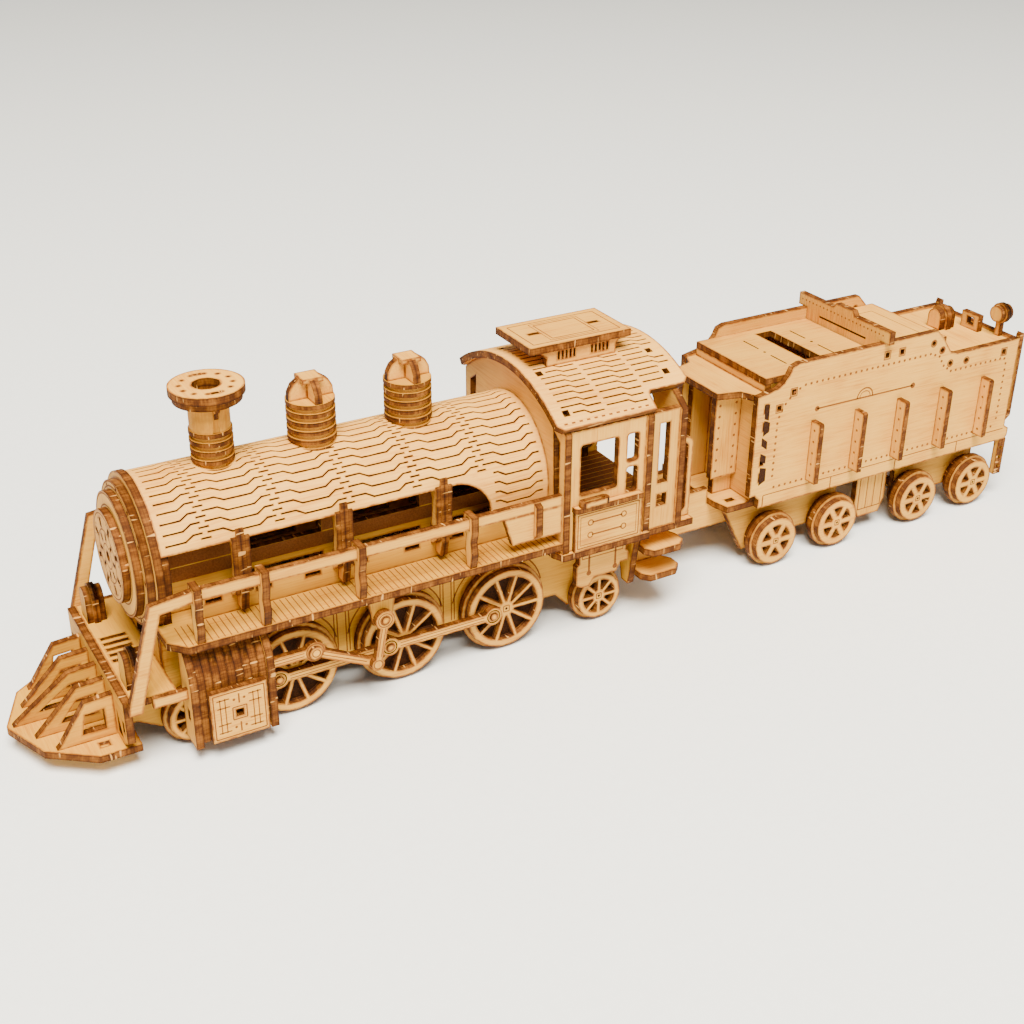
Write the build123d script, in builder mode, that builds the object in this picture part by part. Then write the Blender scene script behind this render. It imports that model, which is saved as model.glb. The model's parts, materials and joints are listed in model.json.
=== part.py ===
"""Laser-cut plywood model of a steam locomotive with its tender, in millimetres.

X points forwards to the cowcatcher, Y to the left and Z up. The origin is on the floor,
below the middle of the model.
"""

import os

from build123d import *

os.makedirs("parts", exist_ok=True)

# ---- stock and fits ----
PLY = 2.4  # thickness of the sheet
THIN_PLY = 1.0  # thickness of the sheet that is bent
AXLE_RADIUS = 2.0
RUNNING_FIT = 0.08  # radial clearance of whatever turns
PIN_RADIUS = 1.2
PIECE_GAP = 0.02  # keeps pieces of one node apart where they touch

# ---- levels ----
DECK_TOP = 40.7
DECK_BOTTOM = DECK_TOP - PLY
CAB_FLOOR_TOP = 36.6
CAB_FLOOR_BOTTOM = CAB_FLOOR_TOP - PLY
PILOT_DECK_TOP = 25.9
PILOT_DECK_BOTTOM = PILOT_DECK_TOP - PLY
PILOT_BASE_TOP = 8.45

# ---- wheels ----
DRIVER_MIDDLE = 74.0
DRIVER_SPACING = 38.0
DRIVER_X = (
    DRIVER_MIDDLE + DRIVER_SPACING,
    DRIVER_MIDDLE,
    DRIVER_MIDDLE - DRIVER_SPACING,
)
DRIVER_FACE_RADIUS = 14.5
DRIVER_FLANGE_RADIUS = 15.8
WHEEL_FACE_Y = 24.3  # outer face of every locomotive wheel
CRANK = 6.2
SMALL_FACE_RADIUS = 8.5
SMALL_FLANGE_RADIUS = 9.85
PILOT_WHEEL_X = 144.5
TRAILING_WHEEL_X = -1.1
TENDER_FACE_RADIUS = 9.3
TENDER_FLANGE_RADIUS = 10.65
BOGIE_X = (-94.0, -164.7)
BOGIE_HALF_BASE = 14.75
BOGIE_TOP = 23.2
BOGIE_PIN_RADIUS = 3.0

# ---- frame ----
FRAME_Y = 15.5  # inner face of each side frame
FRAME_REAR = -34.0
BEAM_X = 165.1  # rear face of the pilot beam
BEAM_HALF = 30.5
DECK_HALF = 33.4
DECK_REAR = 20.0
DECK_FRONT = 152.0

# ---- boiler ----
BOILER_Z = 58.0
BOILER_RADIUS = 24.0
BOILER_FRONT = 149.4
RIB_RADIUS = BOILER_RADIUS - THIN_PLY - 0.05
RIB_X = (147.0, 124.8, 91.8, 57.8, 20.0)
STACK_X = 124.0
DOME_X = (91.9, 58.8)

# ---- cab ----
CAB_FRONT_X = 17.6
CAB_MIDDLE_X = -14.1
CAB_REAR_X = -27.4
CAB_WALL_Y = 30.4
CAB_HALF = 33.6
CAB_SIDE_TOP = 80.0
ROOF_Z = 40.3
ROOF_RADIUS = 54.0
ROOF_FRONT = 23.0
ROOF_STEP = -14.5
ROOF_REAR = -31.0

# ---- rods ----
ROD_Y = 24.7
ROD_PLY = 2.0
LEVER_Y = 30.6
LINK_Y = 28.3
JOINT_X, JOINT_Z = 107.2, 24.8
LEVER_TOP_X, LEVER_TOP_Z = 84.2, 30.4
LEVER_END_X, LEVER_END_Z = 87.2, 14.8

# ---- tender ----
TENDER_FRONT = -68.0
TENDER_REAR = -193.7
TENDER_WALL_Y = 20.6
TENDER_FLOOR_BOTTOM = 25.9
TENDER_FLOOR_TOP = TENDER_FLOOR_BOTTOM + PLY
DRAWBAR_PIN_X = -40.0

FLANK = Plane.XZ
CROSS = Plane.YZ
FLAT = Plane.XY


def sheet(plane, points, thickness, mode=Mode.ADD):
    """Cut one flat piece with straight edges out of a sheet."""
    with BuildSketch(plane) as face:
        with BuildLine():
            Polyline(*points, close=True)
        make_face()
    extrude(face.sketch, amount=thickness, mode=mode)


def flank(points, y, thickness=PLY, mode=Mode.ADD):
    """A piece whose sheet faces sideways, from y to y + thickness, drawn in X and Z."""
    sheet(FLANK.offset(-y), points, -thickness, mode)


def cross(points, x, thickness=PLY, mode=Mode.ADD):
    """A piece whose sheet faces forwards, from x to x + thickness, drawn in Y and Z."""
    sheet(CROSS.offset(x), points, thickness, mode)


def flat(points, z, thickness=PLY, mode=Mode.ADD):
    """A piece whose sheet faces up, from z to z + thickness, drawn in X and Y."""
    sheet(FLAT.offset(z), points, thickness, mode)


def box_points(low_a, high_a, low_b, high_b):
    return [(low_a, low_b), (high_a, low_b), (high_a, high_b), (low_a, high_b)]


def mirrored(points):
    """The left half of an outline in Y and Z, joined to its mirror image."""
    return points + [(-a, b) for a, b in reversed(points)]


def mirrored_flat(points):
    """The left half of an outline in X and Y, joined to its mirror image."""
    return points + [(a, -b) for a, b in reversed(points)]


def flank_disc(x, y, z, radius, thickness, mode=Mode.ADD):
    with BuildSketch(FLANK.offset(-y)) as face:
        with Locations((x, z)):
            Circle(radius)
    extrude(face.sketch, amount=-thickness, mode=mode)


def cross_disc(x, y, z, radius, thickness, mode=Mode.ADD):
    with BuildSketch(CROSS.offset(x)) as face:
        with Locations((y, z)):
            Circle(radius)
    extrude(face.sketch, amount=thickness, mode=mode)


def flat_disc(x, y, z, radius, thickness, mode=Mode.ADD):
    with BuildSketch(FLAT.offset(z)) as face:
        with Locations((x, y)):
            Circle(radius)
    extrude(face.sketch, amount=thickness, mode=mode)


def near_side(side, y, thickness):
    """Lower Y of a sheet that lies from y to y + thickness on the given side."""
    return y if side > 0 else -y - thickness


def spoked_disc(x, z, y, radius, rim, hub, spokes, spoke_width, thickness):
    """A wheel disc with straight spokes between a hub and a rim."""
    with BuildSketch(FLANK.offset(-y)) as face:
        with Locations((x, z)):
            Circle(radius)
            Circle(radius - rim, mode=Mode.SUBTRACT)
            Circle(hub)
        with Locations((x, z)):
            with PolarLocations(0, spokes):
                with Locations(((radius - rim / 2) / 2, 0)):
                    Rectangle(radius - rim / 2, spoke_width)
    extrude(face.sketch, amount=-thickness)


def wheel_pair(x, face_radius, flange_radius, face_y, rim, hub, spokes, spoke_width, layers):
    """Two stacked wheels on one axle; the flange disc stands on the floor."""
    z = flange_radius
    for side in (1, -1):
        low = near_side(side, face_y - PLY, PLY)
        spoked_disc(x, z, low, face_radius, rim, hub, spokes, spoke_width, PLY)
        low = near_side(side, face_y - 2 * PLY, PLY)
        flank_disc(x, low, z, flange_radius, PLY)
        if layers > 2:
            low = near_side(side, face_y - 3 * PLY, PLY)
            flank_disc(x, low, z, face_radius, PLY)
    flank_disc(x, -face_y + PLY, z, AXLE_RADIUS, 2 * (face_y - PLY))


def save(part, label):
    part.label = label
    export_step(part, f"parts/{label}.step")

# ======== pilot ========
RIB_SPACING = 8.95
RIB_FEET = (194.4, 189.8, 185.7)

with BuildPart() as pilot_base:
    flat(
        mirrored_flat([(162.7, 27.9), (175.4, 27.9), (189.3, 17.5), (196.1, 0.6)]),
        PILOT_BASE_TOP - PLY,
    )
    for index in (-2, -1, 0, 1, 2):
        with Locations((172.5, index * RIB_SPACING + RIB_SPACING / 2, PILOT_BASE_TOP)):
            Box(3.0, PLY, 1.0, align=(Align.CENTER, Align.CENTER, Align.MAX), mode=Mode.SUBTRACT)
save(pilot_base.part, "pilot_base")

with BuildPart() as pilot_ribs:
    for index in (-2, -1, 0, 1, 2):
        foot = RIB_FEET[abs(index)]
        low = index * RIB_SPACING - PLY / 2
        outline = [
            (BEAM_X + PLY, PILOT_BASE_TOP),
            (foot, PILOT_BASE_TOP),
            (foot - 1.0, PILOT_BASE_TOP + 1.0),
            (176.2, 22.2),
            (BEAM_X + PLY, 22.8),
        ]
        flank(outline, low)
        window = [(170.6, 11.6), (foot - 8.0, 11.6), (176.4, 18.2), (170.6, 18.6)]
        flank(window, low, PLY, Mode.SUBTRACT)
save(pilot_ribs.part, "pilot_ribs")

with BuildPart() as pilot_beam:
    cross(
        mirrored([(26.0, PILOT_BASE_TOP), (BEAM_HALF, 11.6), (BEAM_HALF, PILOT_DECK_TOP)]),
        BEAM_X,
    )
    for side in (1, -1):
        notch = [(side * 21.5, 11.0), (side * 25.5, 11.0), (side * 21.5, 19.0)]
        cross(notch, BEAM_X, PLY, Mode.SUBTRACT)
        slot = box_points(*sorted((side * 27.0, side * 28.6)), 14.0, 18.0)
        cross(slot, BEAM_X, PLY, Mode.SUBTRACT)
    for side in (1, -1):
        for layer, radius in enumerate((3.4, 4.2, 3.4)):
            x = 158.2 + layer * 2.0
            cross(
                box_points(side * 21.0 - radius, side * 21.0 + radius, PILOT_DECK_TOP, 34.0),
                x,
                2.0,
            )
            cross_disc(x, side * 21.0, 34.0, radius, 2.0)
save(pilot_beam.part, "pilot_beam")

SADDLE_X = 148.9
with BuildPart() as pilot_deck:
    flat(box_points(SADDLE_X + PLY, BEAM_X, -BEAM_HALF, BEAM_HALF), PILOT_DECK_BOTTOM)
    for index in (-2, -1, 0, 1, 2):
        slot = box_points(155.6, 163.4, index * 3.4 - 0.7, index * 3.4 + 0.7)
        flat(slot, PILOT_DECK_BOTTOM, PLY, Mode.SUBTRACT)
save(pilot_deck.part, "pilot_deck")

# ======== frame ========
FRAME_OUTLINE = [
    (BEAM_X, PILOT_DECK_BOTTOM),
    (SADDLE_X + PLY, PILOT_DECK_BOTTOM),
    (SADDLE_X + PLY, DECK_BOTTOM),
    (22.6, DECK_BOTTOM),
    (22.6, CAB_FLOOR_BOTTOM),
    (FRAME_REAR, CAB_FLOOR_BOTTOM),
    (FRAME_REAR, 22.0),
    (-14.0, 20.0),
    (-9.0, 5.5),
    (8.0, 5.5),
    (13.0, 11.0),
    (127.0, 11.0),
    (134.0, 5.5),
    (154.0, 5.5),
    (161.0, 9.5),
    (BEAM_X, 9.5),
]

with BuildPart() as frame_plates:
    for side in (1, -1):
        low = near_side(side, FRAME_Y, PLY)
        flank(FRAME_OUTLINE, low)
        for x in DRIVER_X:
            flank_disc(
                x, low, DRIVER_FLANGE_RADIUS, AXLE_RADIUS + RUNNING_FIT, PLY, Mode.SUBTRACT
            )
        for x in (PILOT_WHEEL_X, TRAILING_WHEEL_X):
            flank_disc(
                x, low, SMALL_FLANGE_RADIUS, AXLE_RADIUS + RUNNING_FIT, PLY, Mode.SUBTRACT
            )
        for x in DRIVER_X:
            for lean in (1, -1):
                slit = [
                    (x + lean * 10.5, 33.6),
                    (x + lean * 15.5, 33.6),
                    (x + lean * 14.8, 34.8),
                    (x + lean * 9.0, 34.8),
                ]
                flank(slit, low, PLY, Mode.SUBTRACT)
                slit = [
                    (x + lean * 12.6, 31.0),
                    (x + lean * 15.5, 31.0),
                    (x + lean * 15.5, 32.4),
                    (x + lean * 11.4, 32.4),
                ]
                flank(slit, low, PLY, Mode.SUBTRACT)
    for side in (1, -1):
        low = near_side(side, LEVER_Y - 0.2 - 1.6, 1.6)
        hanger = [
            (LEVER_TOP_X - 3.0, LEVER_TOP_Z - 2.4),
            (LEVER_TOP_X + 3.0, LEVER_TOP_Z - 2.4),
            (LEVER_TOP_X + 5.0, DECK_BOTTOM),
            (LEVER_TOP_X - 5.0, DECK_BOTTOM),
        ]
        flank(hanger, low, 1.6)
        pin_low = near_side(side, LEVER_Y - 0.2, ROD_PLY + 0.6)
        flank_disc(LEVER_TOP_X, pin_low, LEVER_TOP_Z, PIN_RADIUS, ROD_PLY + 0.6)
save(frame_plates.part, "frame_plates")

with BuildPart() as frame_spacers:
    for x in (SADDLE_X, 129.6, 91.8, 53.8, 14.8, -21.0):
        top = DECK_BOTTOM if x > 20 else CAB_FLOOR_BOTTOM
        cross(box_points(-FRAME_Y, FRAME_Y, 21.0, top), x)
        cross(box_points(-8.0, 8.0, 24.5, top - 4.0), x, PLY, Mode.SUBTRACT)
    for side in (1, -1):
        outline = [
            (side * 19.0, CAB_FLOOR_BOTTOM),
            (side * 19.0, 26.0),
            (side * 22.0, 12.6),
            (side * 26.0, 12.6),
            (side * 28.0, 26.0),
            (side * 30.0, CAB_FLOOR_BOTTOM),
        ]
        cross(outline, -14.2)
save(frame_spacers.part, "frame_spacers")

with BuildPart() as running_deck:
    flat(
        mirrored_flat([(DECK_REAR, DECK_HALF), (147.0, DECK_HALF), (DECK_FRONT, 28.0)]),
        DECK_BOTTOM,
    )
    flat(box_points(96.0, 120.0, -9.0, 9.0), DECK_BOTTOM, PLY, Mode.SUBTRACT)
    flat(box_points(60.0, 88.0, -9.0, 9.0), DECK_BOTTOM, PLY, Mode.SUBTRACT)
save(running_deck.part, "running_deck")

# ======== boiler ========
BOILER_WALL_Y = 18.1
with BuildPart() as boiler_ribs:
    for x in RIB_X:
        cross_disc(x, 0, BOILER_Z, RIB_RADIUS, PLY)
        for side in (1, -1):
            cut = box_points(*sorted((side * BOILER_WALL_Y, side * 30.0)), 30.0, 51.0)
            cross(cut, x, PLY, Mode.SUBTRACT)
        cross(box_points(-30.0, 30.0, 30.0, DECK_TOP), x, PLY, Mode.SUBTRACT)
        cross(box_points(-BOILER_WALL_Y, BOILER_WALL_Y, DECK_TOP, 46.0), x)
        cross_disc(x, 0, BOILER_Z, 18.5, PLY, Mode.SUBTRACT)
        cross(box_points(-13.0, 13.0, DECK_TOP, 50.0), x, PLY, Mode.SUBTRACT)
    cross_disc(CAB_FRONT_X - PLY, 0, 56.0, 17.0, PLY)
    cross_disc(CAB_FRONT_X - 2 * PLY, 0, 56.0, 12.0, PLY)
    cross_disc(CAB_FRONT_X - 2 * PLY, 0, 50.0, 3.0, PLY, Mode.SUBTRACT)
save(boiler_ribs.part, "boiler_ribs")

with BuildPart() as boiler_panels:
    for side in (1, -1):
        low = near_side(side, 10.6, PLY)
        flank(box_points(22.6, 146.8, DECK_TOP, 66.0), low)
        for x in (28.0, 62.0, 96.0):
            flank(box_points(x, x + 26.0, 56.0, 60.5), low, PLY, Mode.SUBTRACT)
            flank(box_points(x, x + 26.0, 45.0, 49.0), low, PLY, Mode.SUBTRACT)
    for side in (1, -1):
        low = near_side(side, BOILER_WALL_Y, PLY)
        flank(box_points(22.6, 141.0, DECK_TOP, 51.0), low)
        for x in (128.0, 96.0, 62.0):
            flank(box_points(x + 4.0, x + 9.0, 45.6, 47.0), low, PLY, Mode.SUBTRACT)
            flank(box_points(x - 12.0, x - 7.0, 45.6, 47.0), low, PLY, Mode.SUBTRACT)
save(boiler_panels.part, "boiler_panels")


def skin_sector(x_low, x_high, angle):
    """Part of the bent skin over the boiler, down to an angle on each side."""
    with BuildSketch(CROSS.offset(x_low)) as face:
        with Locations((0, BOILER_Z)):
            Circle(BOILER_RADIUS)
            Circle(BOILER_RADIUS - THIN_PLY, mode=Mode.SUBTRACT)
        bottom = BOILER_Z + BOILER_RADIUS * angle
        with Locations((0, bottom)):
            Rectangle(60.0, 80.0, align=(Align.CENTER, Align.MAX), mode=Mode.SUBTRACT)
    extrude(face.sketch, amount=x_high - x_low)


SKIN_REAR = 20.1
SKIN_STEP = 54.0
with BuildPart() as boiler_skin:
    skin_sector(SKIN_STEP, BOILER_FRONT, 0.33)
    skin_sector(SKIN_REAR, SKIN_STEP, -0.22)
    for side in (1, -1):
        low = near_side(side, 10.0, 30.0)
        flank_disc(SKIN_STEP, low, 53.5, 12.4, 30.0, Mode.SUBTRACT)
    flat_disc(STACK_X, 0, 70.0, 5.0, 20.0, Mode.SUBTRACT)
save(boiler_skin.part, "boiler_skin")

with BuildPart() as stanchions:
    for x in (126.0, 93.0, 59.0):
        for side in (1, -1):
            core = [
                (side * 20.5, 42.6),
                (side * 24.0, 42.6),
                (side * 25.4, 48.0),
                (side * 25.2, 70.4),
                (side * 24.15, 70.4),
                (side * 24.15, 51.2),
                (side * 23.0, 51.0),
                (side * 20.5, 51.0),
            ]
            cross(core, x - PLY / 2)
            cheek = [
                (side * 20.5, 46.0),
                (side * 24.8, 49.0),
                (side * 25.2, 67.8),
                (side * 24.15, 67.8),
                (side * 24.15, 51.2),
                (side * 23.0, 51.0),
                (side * 20.5, 51.0),
            ]
            cross(cheek, x - PLY / 2 - 1.6, 1.6)
            cross(cheek, x + PLY / 2, 1.6)
save(stanchions.part, "stanchions")

# ======== smokebox front ========
with BuildPart() as smokebox_plate:
    cross_disc(149.4, 0, BOILER_Z, 24.6, PLY)
    cross_disc(151.8, 0, BOILER_Z, 22.4, PLY)
    flat(box_points(149.0, 152.1, -30.0, 30.0), 30.0, DECK_TOP - 30.0, Mode.SUBTRACT)
    for angle in range(0, 360, 30):
        with BuildSketch(CROSS.offset(149.4)):
            with Locations((0, BOILER_Z)):
                with PolarLocations(21.0, 1, angle):
                    Circle(0.55)
        extrude(amount=2 * PLY, mode=Mode.SUBTRACT)
save(smokebox_plate.part, "smokebox_plate")

with BuildPart() as smokebox_ring:
    cross_disc(154.2, 0, BOILER_Z, 19.6, PLY)
    with BuildSketch(CROSS.offset(154.2)):
        with Locations((0, BOILER_Z)):
            with PolarLocations(0, 4, 45):
                SlotArc(CenterArc((0, 0), 17.2, -18, 36, mode=Mode.PRIVATE), 1.4)
    extrude(amount=PLY, mode=Mode.SUBTRACT)
save(smokebox_ring.part, "smokebox_ring")

with BuildPart() as smokebox_door:
    cross_disc(156.6, 0, BOILER_Z, 14.6, PLY)
    with BuildSketch(CROSS.offset(156.6)):
        with Locations((0, BOILER_Z)):
            with PolarLocations(10.6, 8, 22.5):
                Rectangle(3.0, 1.5)
            with PolarLocations(6.4, 8):
                Rectangle(2.2, 1.1)
            Circle(1.6)
    extrude(amount=PLY, mode=Mode.SUBTRACT)
save(smokebox_door.part, "smokebox_door")

# ======== stack and domes ========
SKIN_TOP = BOILER_Z + BOILER_RADIUS
RING_PLY = 1.44  # thinner sheet of the ring stacks
STACK_BORE = 4.2
STACK_RINGS = 9
NECK_BOTTOM = SKIN_TOP - 2.0 + STACK_RINGS * RING_PLY
RIM_BOTTOM = 102.0
with BuildPart() as smokestack:
    for layer in range(STACK_RINGS):
        radius = 6.6 if layer % 2 == 0 else 5.7
        flat_disc(STACK_X, 0, SKIN_TOP - 2.0 + layer * RING_PLY, radius, RING_PLY)
    flat_disc(STACK_X, 0, SKIN_TOP - 3.0, STACK_BORE, 20.0, Mode.SUBTRACT)
    with BuildSketch(CROSS.offset(STACK_X - 20)):
        with Locations((0, BOILER_Z)):
            Circle(BOILER_RADIUS + 0.02)
    extrude(amount=40, mode=Mode.SUBTRACT)
save(smokestack.part, "smokestack")

NECK_BRACKET = [(5.0, 0), (8.8, 0), (8.4, -1.7), (6.9, -2.4), (6.7, -4.4), (5.0, -4.4)]
with BuildPart() as smokestack_neck:
    flat_disc(STACK_X, 0, NECK_BOTTOM, 6.2, RIM_BOTTOM - NECK_BOTTOM)
    for side in (1, -1):
        outline = [(side * a, RIM_BOTTOM + b) for a, b in NECK_BRACKET]
        cross(outline, STACK_X - RING_PLY / 2, RING_PLY)
    flat_disc(STACK_X, 0, NECK_BOTTOM - 1.0, STACK_BORE, 20.0, Mode.SUBTRACT)
save(smokestack_neck.part, "smokestack_neck")

RIM_SPLIT = RIM_BOTTOM + 2.2
with BuildPart() as smokestack_rim:
    flat_disc(STACK_X, 0, RIM_BOTTOM, 10.4, 2.2)
    flat_disc(STACK_X, 0, RIM_SPLIT, 11.4, PLY)
    flat_disc(STACK_X, 0, RIM_BOTTOM - 1.0, STACK_BORE, 10.0, Mode.SUBTRACT)
    with BuildSketch(FLAT.offset(RIM_SPLIT)):
        with Locations((STACK_X, 0)):
            with PolarLocations(7.9, 12, 15):
                Circle(0.45)
            with PolarLocations(7.9, 2, 90):
                Rectangle(1.2, 2.2)
    extrude(amount=PLY, mode=Mode.SUBTRACT)
save(smokestack_rim.part, "smokestack_rim")

DOME_RINGS = 11


def dome(x):
    """Stacked rings of two sizes that sit on the skin."""
    for layer in range(DOME_RINGS):
        radius = 7.7 if layer % 2 == 0 else 6.8
        flat_disc(x, 0, SKIN_TOP - 2.0 + layer * RING_PLY, radius, RING_PLY)
    with BuildSketch(CROSS.offset(x - 20)) as face:
        with Locations((0, BOILER_Z)):
            Circle(BOILER_RADIUS + 0.02)
    extrude(face.sketch, amount=40, mode=Mode.SUBTRACT)


with BuildPart() as domes:
    dome(DOME_X[0])
    dome(DOME_X[1])
save(domes.part, "domes")


DOME_TOP = SKIN_TOP - 2.0 + DOME_RINGS * RING_PLY
CAP_ARCH = [(7.4, 0), (7.2, 2.8), (5.9, 5.2), (3.8, 6.7)]
with BuildPart() as dome_caps:
    for x in DOME_X:
        outline = [(a, DOME_TOP + b) for a, b in CAP_ARCH]
        cross(mirrored(outline), x - PLY / 2)
        flank([(x + a, b) for a, b in mirrored(outline)], -PLY / 2)
        flat(box_points(x - 3.4, x + 3.4, -3.4, 3.4), DOME_TOP + 5.6, RING_PLY)
save(dome_caps.part, "dome_caps")

# ======== handrails ========
RAIL_Y = 30.5
RAIL_PLY = 2.0
RAIL_OUTLINE = [
    (20.0, 54.6),
    (143.4, 54.8),
    (154.0, 53.4),
    (162.4, 22.2),
    (166.4, 22.2),
    (166.4, 24.0),
    (157.0, 57.0),
    (144.0, 58.6),
    (20.0, 58.3),
]
POST_X = (143.0, 122.5, 91.5, 53.0)


def handrail(side):
    low = near_side(side, RAIL_Y, RAIL_PLY)
    flank(RAIL_OUTLINE, low, RAIL_PLY)
    flank([(20.0, 54.6), (20.0, 44.6), (38.5, 44.6), (41.6, 54.6)], low, RAIL_PLY)


with BuildPart() as handrails:
    handrail(1)
    handrail(-1)
save(handrails.part, "handrails")

with BuildPart() as rail_posts:
    for x in POST_X:
        for side in (1, -1):
            outline = [
                (side * 30.4, DECK_TOP),
                (side * 33.0, DECK_TOP),
                (side * 34.2, 46.0),
                (side * 33.4, 50.0),
                (side * 34.4, 54.0),
                (side * 34.4, 59.4),
                (side * 28.6, 59.4),
                (side * 28.6, 54.5),
                (side * 30.2, 52.0),
                (side * 29.6, 47.0),
            ]
            cross(outline, x - PLY / 2)
            notch = box_points(
                *sorted((side * (RAIL_Y - 0.02), side * (RAIL_Y + RAIL_PLY + 0.02))), 54.5, 58.7
            )
            cross(notch, x - PLY / 2, PLY, Mode.SUBTRACT)
    for side in (1, -1):
        outline = [
            (side * 32.5, 45.0),
            (side * 34.4, 46.6),
            (side * 34.4, 57.0),
            (side * 32.5, 57.8),
        ]
        cross(outline, 28.3)
save(rail_posts.part, "rail_posts")

# ======== cylinders ========
CYLINDER_Y = 25.4
BODY_REAR = 124.4
BODY_LAYERS = 9


def cylinder_profile(side, inner, outer, bottom, shoulder, top_width, top):
    return [
        (side * inner, bottom),
        (side * outer, bottom),
        (side * outer, shoulder),
        (side * (outer - 0.9), shoulder + 4.4),
        (side * (outer - 3.0), shoulder + 7.8),
        (side * (inner + top_width), top),
        (side * inner, top),
    ]


with BuildPart() as cylinder_bodies:
    for side in (1, -1):
        for layer in range(BODY_LAYERS):
            shrink = 0.0 if layer % 2 == 0 else 0.35
            cross(
                cylinder_profile(
                    side, CYLINDER_Y, 34.0 - shrink, 6.6 + shrink, 26.0, 2.4, 37.2 - shrink
                ),
                BODY_REAR + layer * PLY,
            )
        cross(
            box_points(*sorted((side * 27.6, side * 30.8)), 22.8, 27.0),
            BODY_REAR,
            18.0,
            Mode.SUBTRACT,
        )
save(cylinder_bodies.part, "cylinder_bodies")

with BuildPart() as cylinder_ends:
    for side in (1, -1):
        for x in (BODY_REAR - PLY, BODY_REAR + BODY_LAYERS * PLY):
            cross(cylinder_profile(side, CYLINDER_Y, 34.6, 5.2, 27.0, 3.4, DECK_BOTTOM), x)
        cross(
            box_points(*sorted((side * 27.6, side * 30.8)), 22.8, 27.0),
            BODY_REAR - PLY,
            PLY,
            Mode.SUBTRACT,
        )
        front = BODY_REAR + BODY_LAYERS * PLY
        slot = box_points(*sorted((side * 29.6, side * 31.2)), 14.0, 17.5)
        cross(slot, front, PLY, Mode.SUBTRACT)
save(cylinder_ends.part, "cylinder_ends")

with BuildPart() as cylinder_covers:
    for side in (1, -1):
        low = near_side(side, 34.0, PLY)
        flank(box_points(125.6, 143.6, 6.8, 24.4), low)
        flank(box_points(133.4, 135.8, 14.4, 16.8), low, PLY, Mode.SUBTRACT)
    for side in (1, -1):
        low = near_side(side, BEAM_HALF, 1.6)
        flank(box_points(148.4, 159.0, 22.4, 25.9), low, 1.6)
save(cylinder_covers.part, "cylinder_covers")

# ======== cab ========
ARCH_RADIUS = ROOF_RADIUS - PLY


def cab_wall(x):
    """A wall across the cab, up to the inside of the roof."""
    with BuildSketch(CROSS.offset(x)) as face:
        with Locations((0, ROOF_Z)):
            Circle(ARCH_RADIUS)
        with Locations((0, CAB_FLOOR_TOP)):
            Rectangle(2 * CAB_HALF, 90.0, align=(Align.CENTER, Align.MIN), mode=Mode.INTERSECT)
    extrude(face.sketch, amount=PLY)


with BuildPart() as cab_walls:
    for x in (CAB_FRONT_X, CAB_MIDDLE_X, CAB_REAR_X):
        cab_wall(x)
    for side in (1, -1):
        cross(
            [(side * 27.0, 56.0), (side * 30.0, 56.0), (side * 30.0, 76.0), (side * 26.0, 79.0)],
            CAB_FRONT_X,
            PLY,
            Mode.SUBTRACT,
        )
    for x in (CAB_MIDDLE_X, CAB_REAR_X):
        cross(box_points(-26.0, 26.0, CAB_FLOOR_TOP, 74.0), x, PLY, Mode.SUBTRACT)
        cross_disc(x, 0, 66.0, 20.0, PLY, Mode.SUBTRACT)
    cross_disc(CAB_FRONT_X, 0, 50.0, 4.0, PLY, Mode.SUBTRACT)
save(cab_walls.part, "cab_walls")


def cab_side(side):
    """The side wall with its windows and, behind the middle wall, the door jamb."""
    low = near_side(side, CAB_WALL_Y, PLY)
    flank(box_points(CAB_MIDDLE_X + PLY, CAB_FRONT_X, CAB_FLOOR_TOP, CAB_SIDE_TOP), low)
    windows = (
        (-0.8, 13.6, 56.4, 74.6),
        (-8.7, -4.4, 64.6, 74.6),
        (-8.7, -4.4, 53.4, 62.6),
    )
    for window in windows:
        with BuildSketch(FLANK.offset(-low)) as face:
            with Locations(((window[0] + window[1]) / 2, (window[2] + window[3]) / 2)):
                RectangleRounded(window[1] - window[0], window[3] - window[2], 1.0)
        extrude(face.sketch, amount=-PLY, mode=Mode.SUBTRACT)
    flank(box_points(CAB_REAR_X + PLY, CAB_MIDDLE_X, CAB_FLOOR_TOP, CAB_SIDE_TOP), low)
    flank(box_points(-21.0, -17.2, 53.6, 75.6), low, PLY, Mode.SUBTRACT)
    flank(box_points(-21.0, -17.2, 45.0, 49.4), low, PLY, Mode.SUBTRACT)


with BuildPart() as cab_sides:
    cab_side(1)
    cab_side(-1)
save(cab_sides.part, "cab_sides")

with BuildPart() as cab_panels:
    for side in (1, -1):
        low = near_side(side, CAB_WALL_Y + PLY, 1.6)
        flank(box_points(-10.2, 16.0, CAB_FLOOR_TOP, 51.4), low, 1.6)
    for side in (1, -1):
        low = near_side(side, CAB_WALL_Y - 2.4, PLY)
        with BuildSketch(FLANK.offset(-low)):
            with Locations((CAB_REAR_X, 52.0)):
                RectangleRounded(11.0, 30.0, 3.0)
                RectangleRounded(7.0, 26.0, 2.0, mode=Mode.SUBTRACT)
            with Locations((CAB_REAR_X, 52.0)):
                Rectangle(20.0, 40.0, align=(Align.MIN, Align.CENTER), mode=Mode.SUBTRACT)
        extrude(amount=-PLY)
        flank(box_points(CAB_REAR_X - 5.5, CAB_REAR_X, CAB_FLOOR_TOP, 38.4), low)
save(cab_panels.part, "cab_panels")

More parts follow.
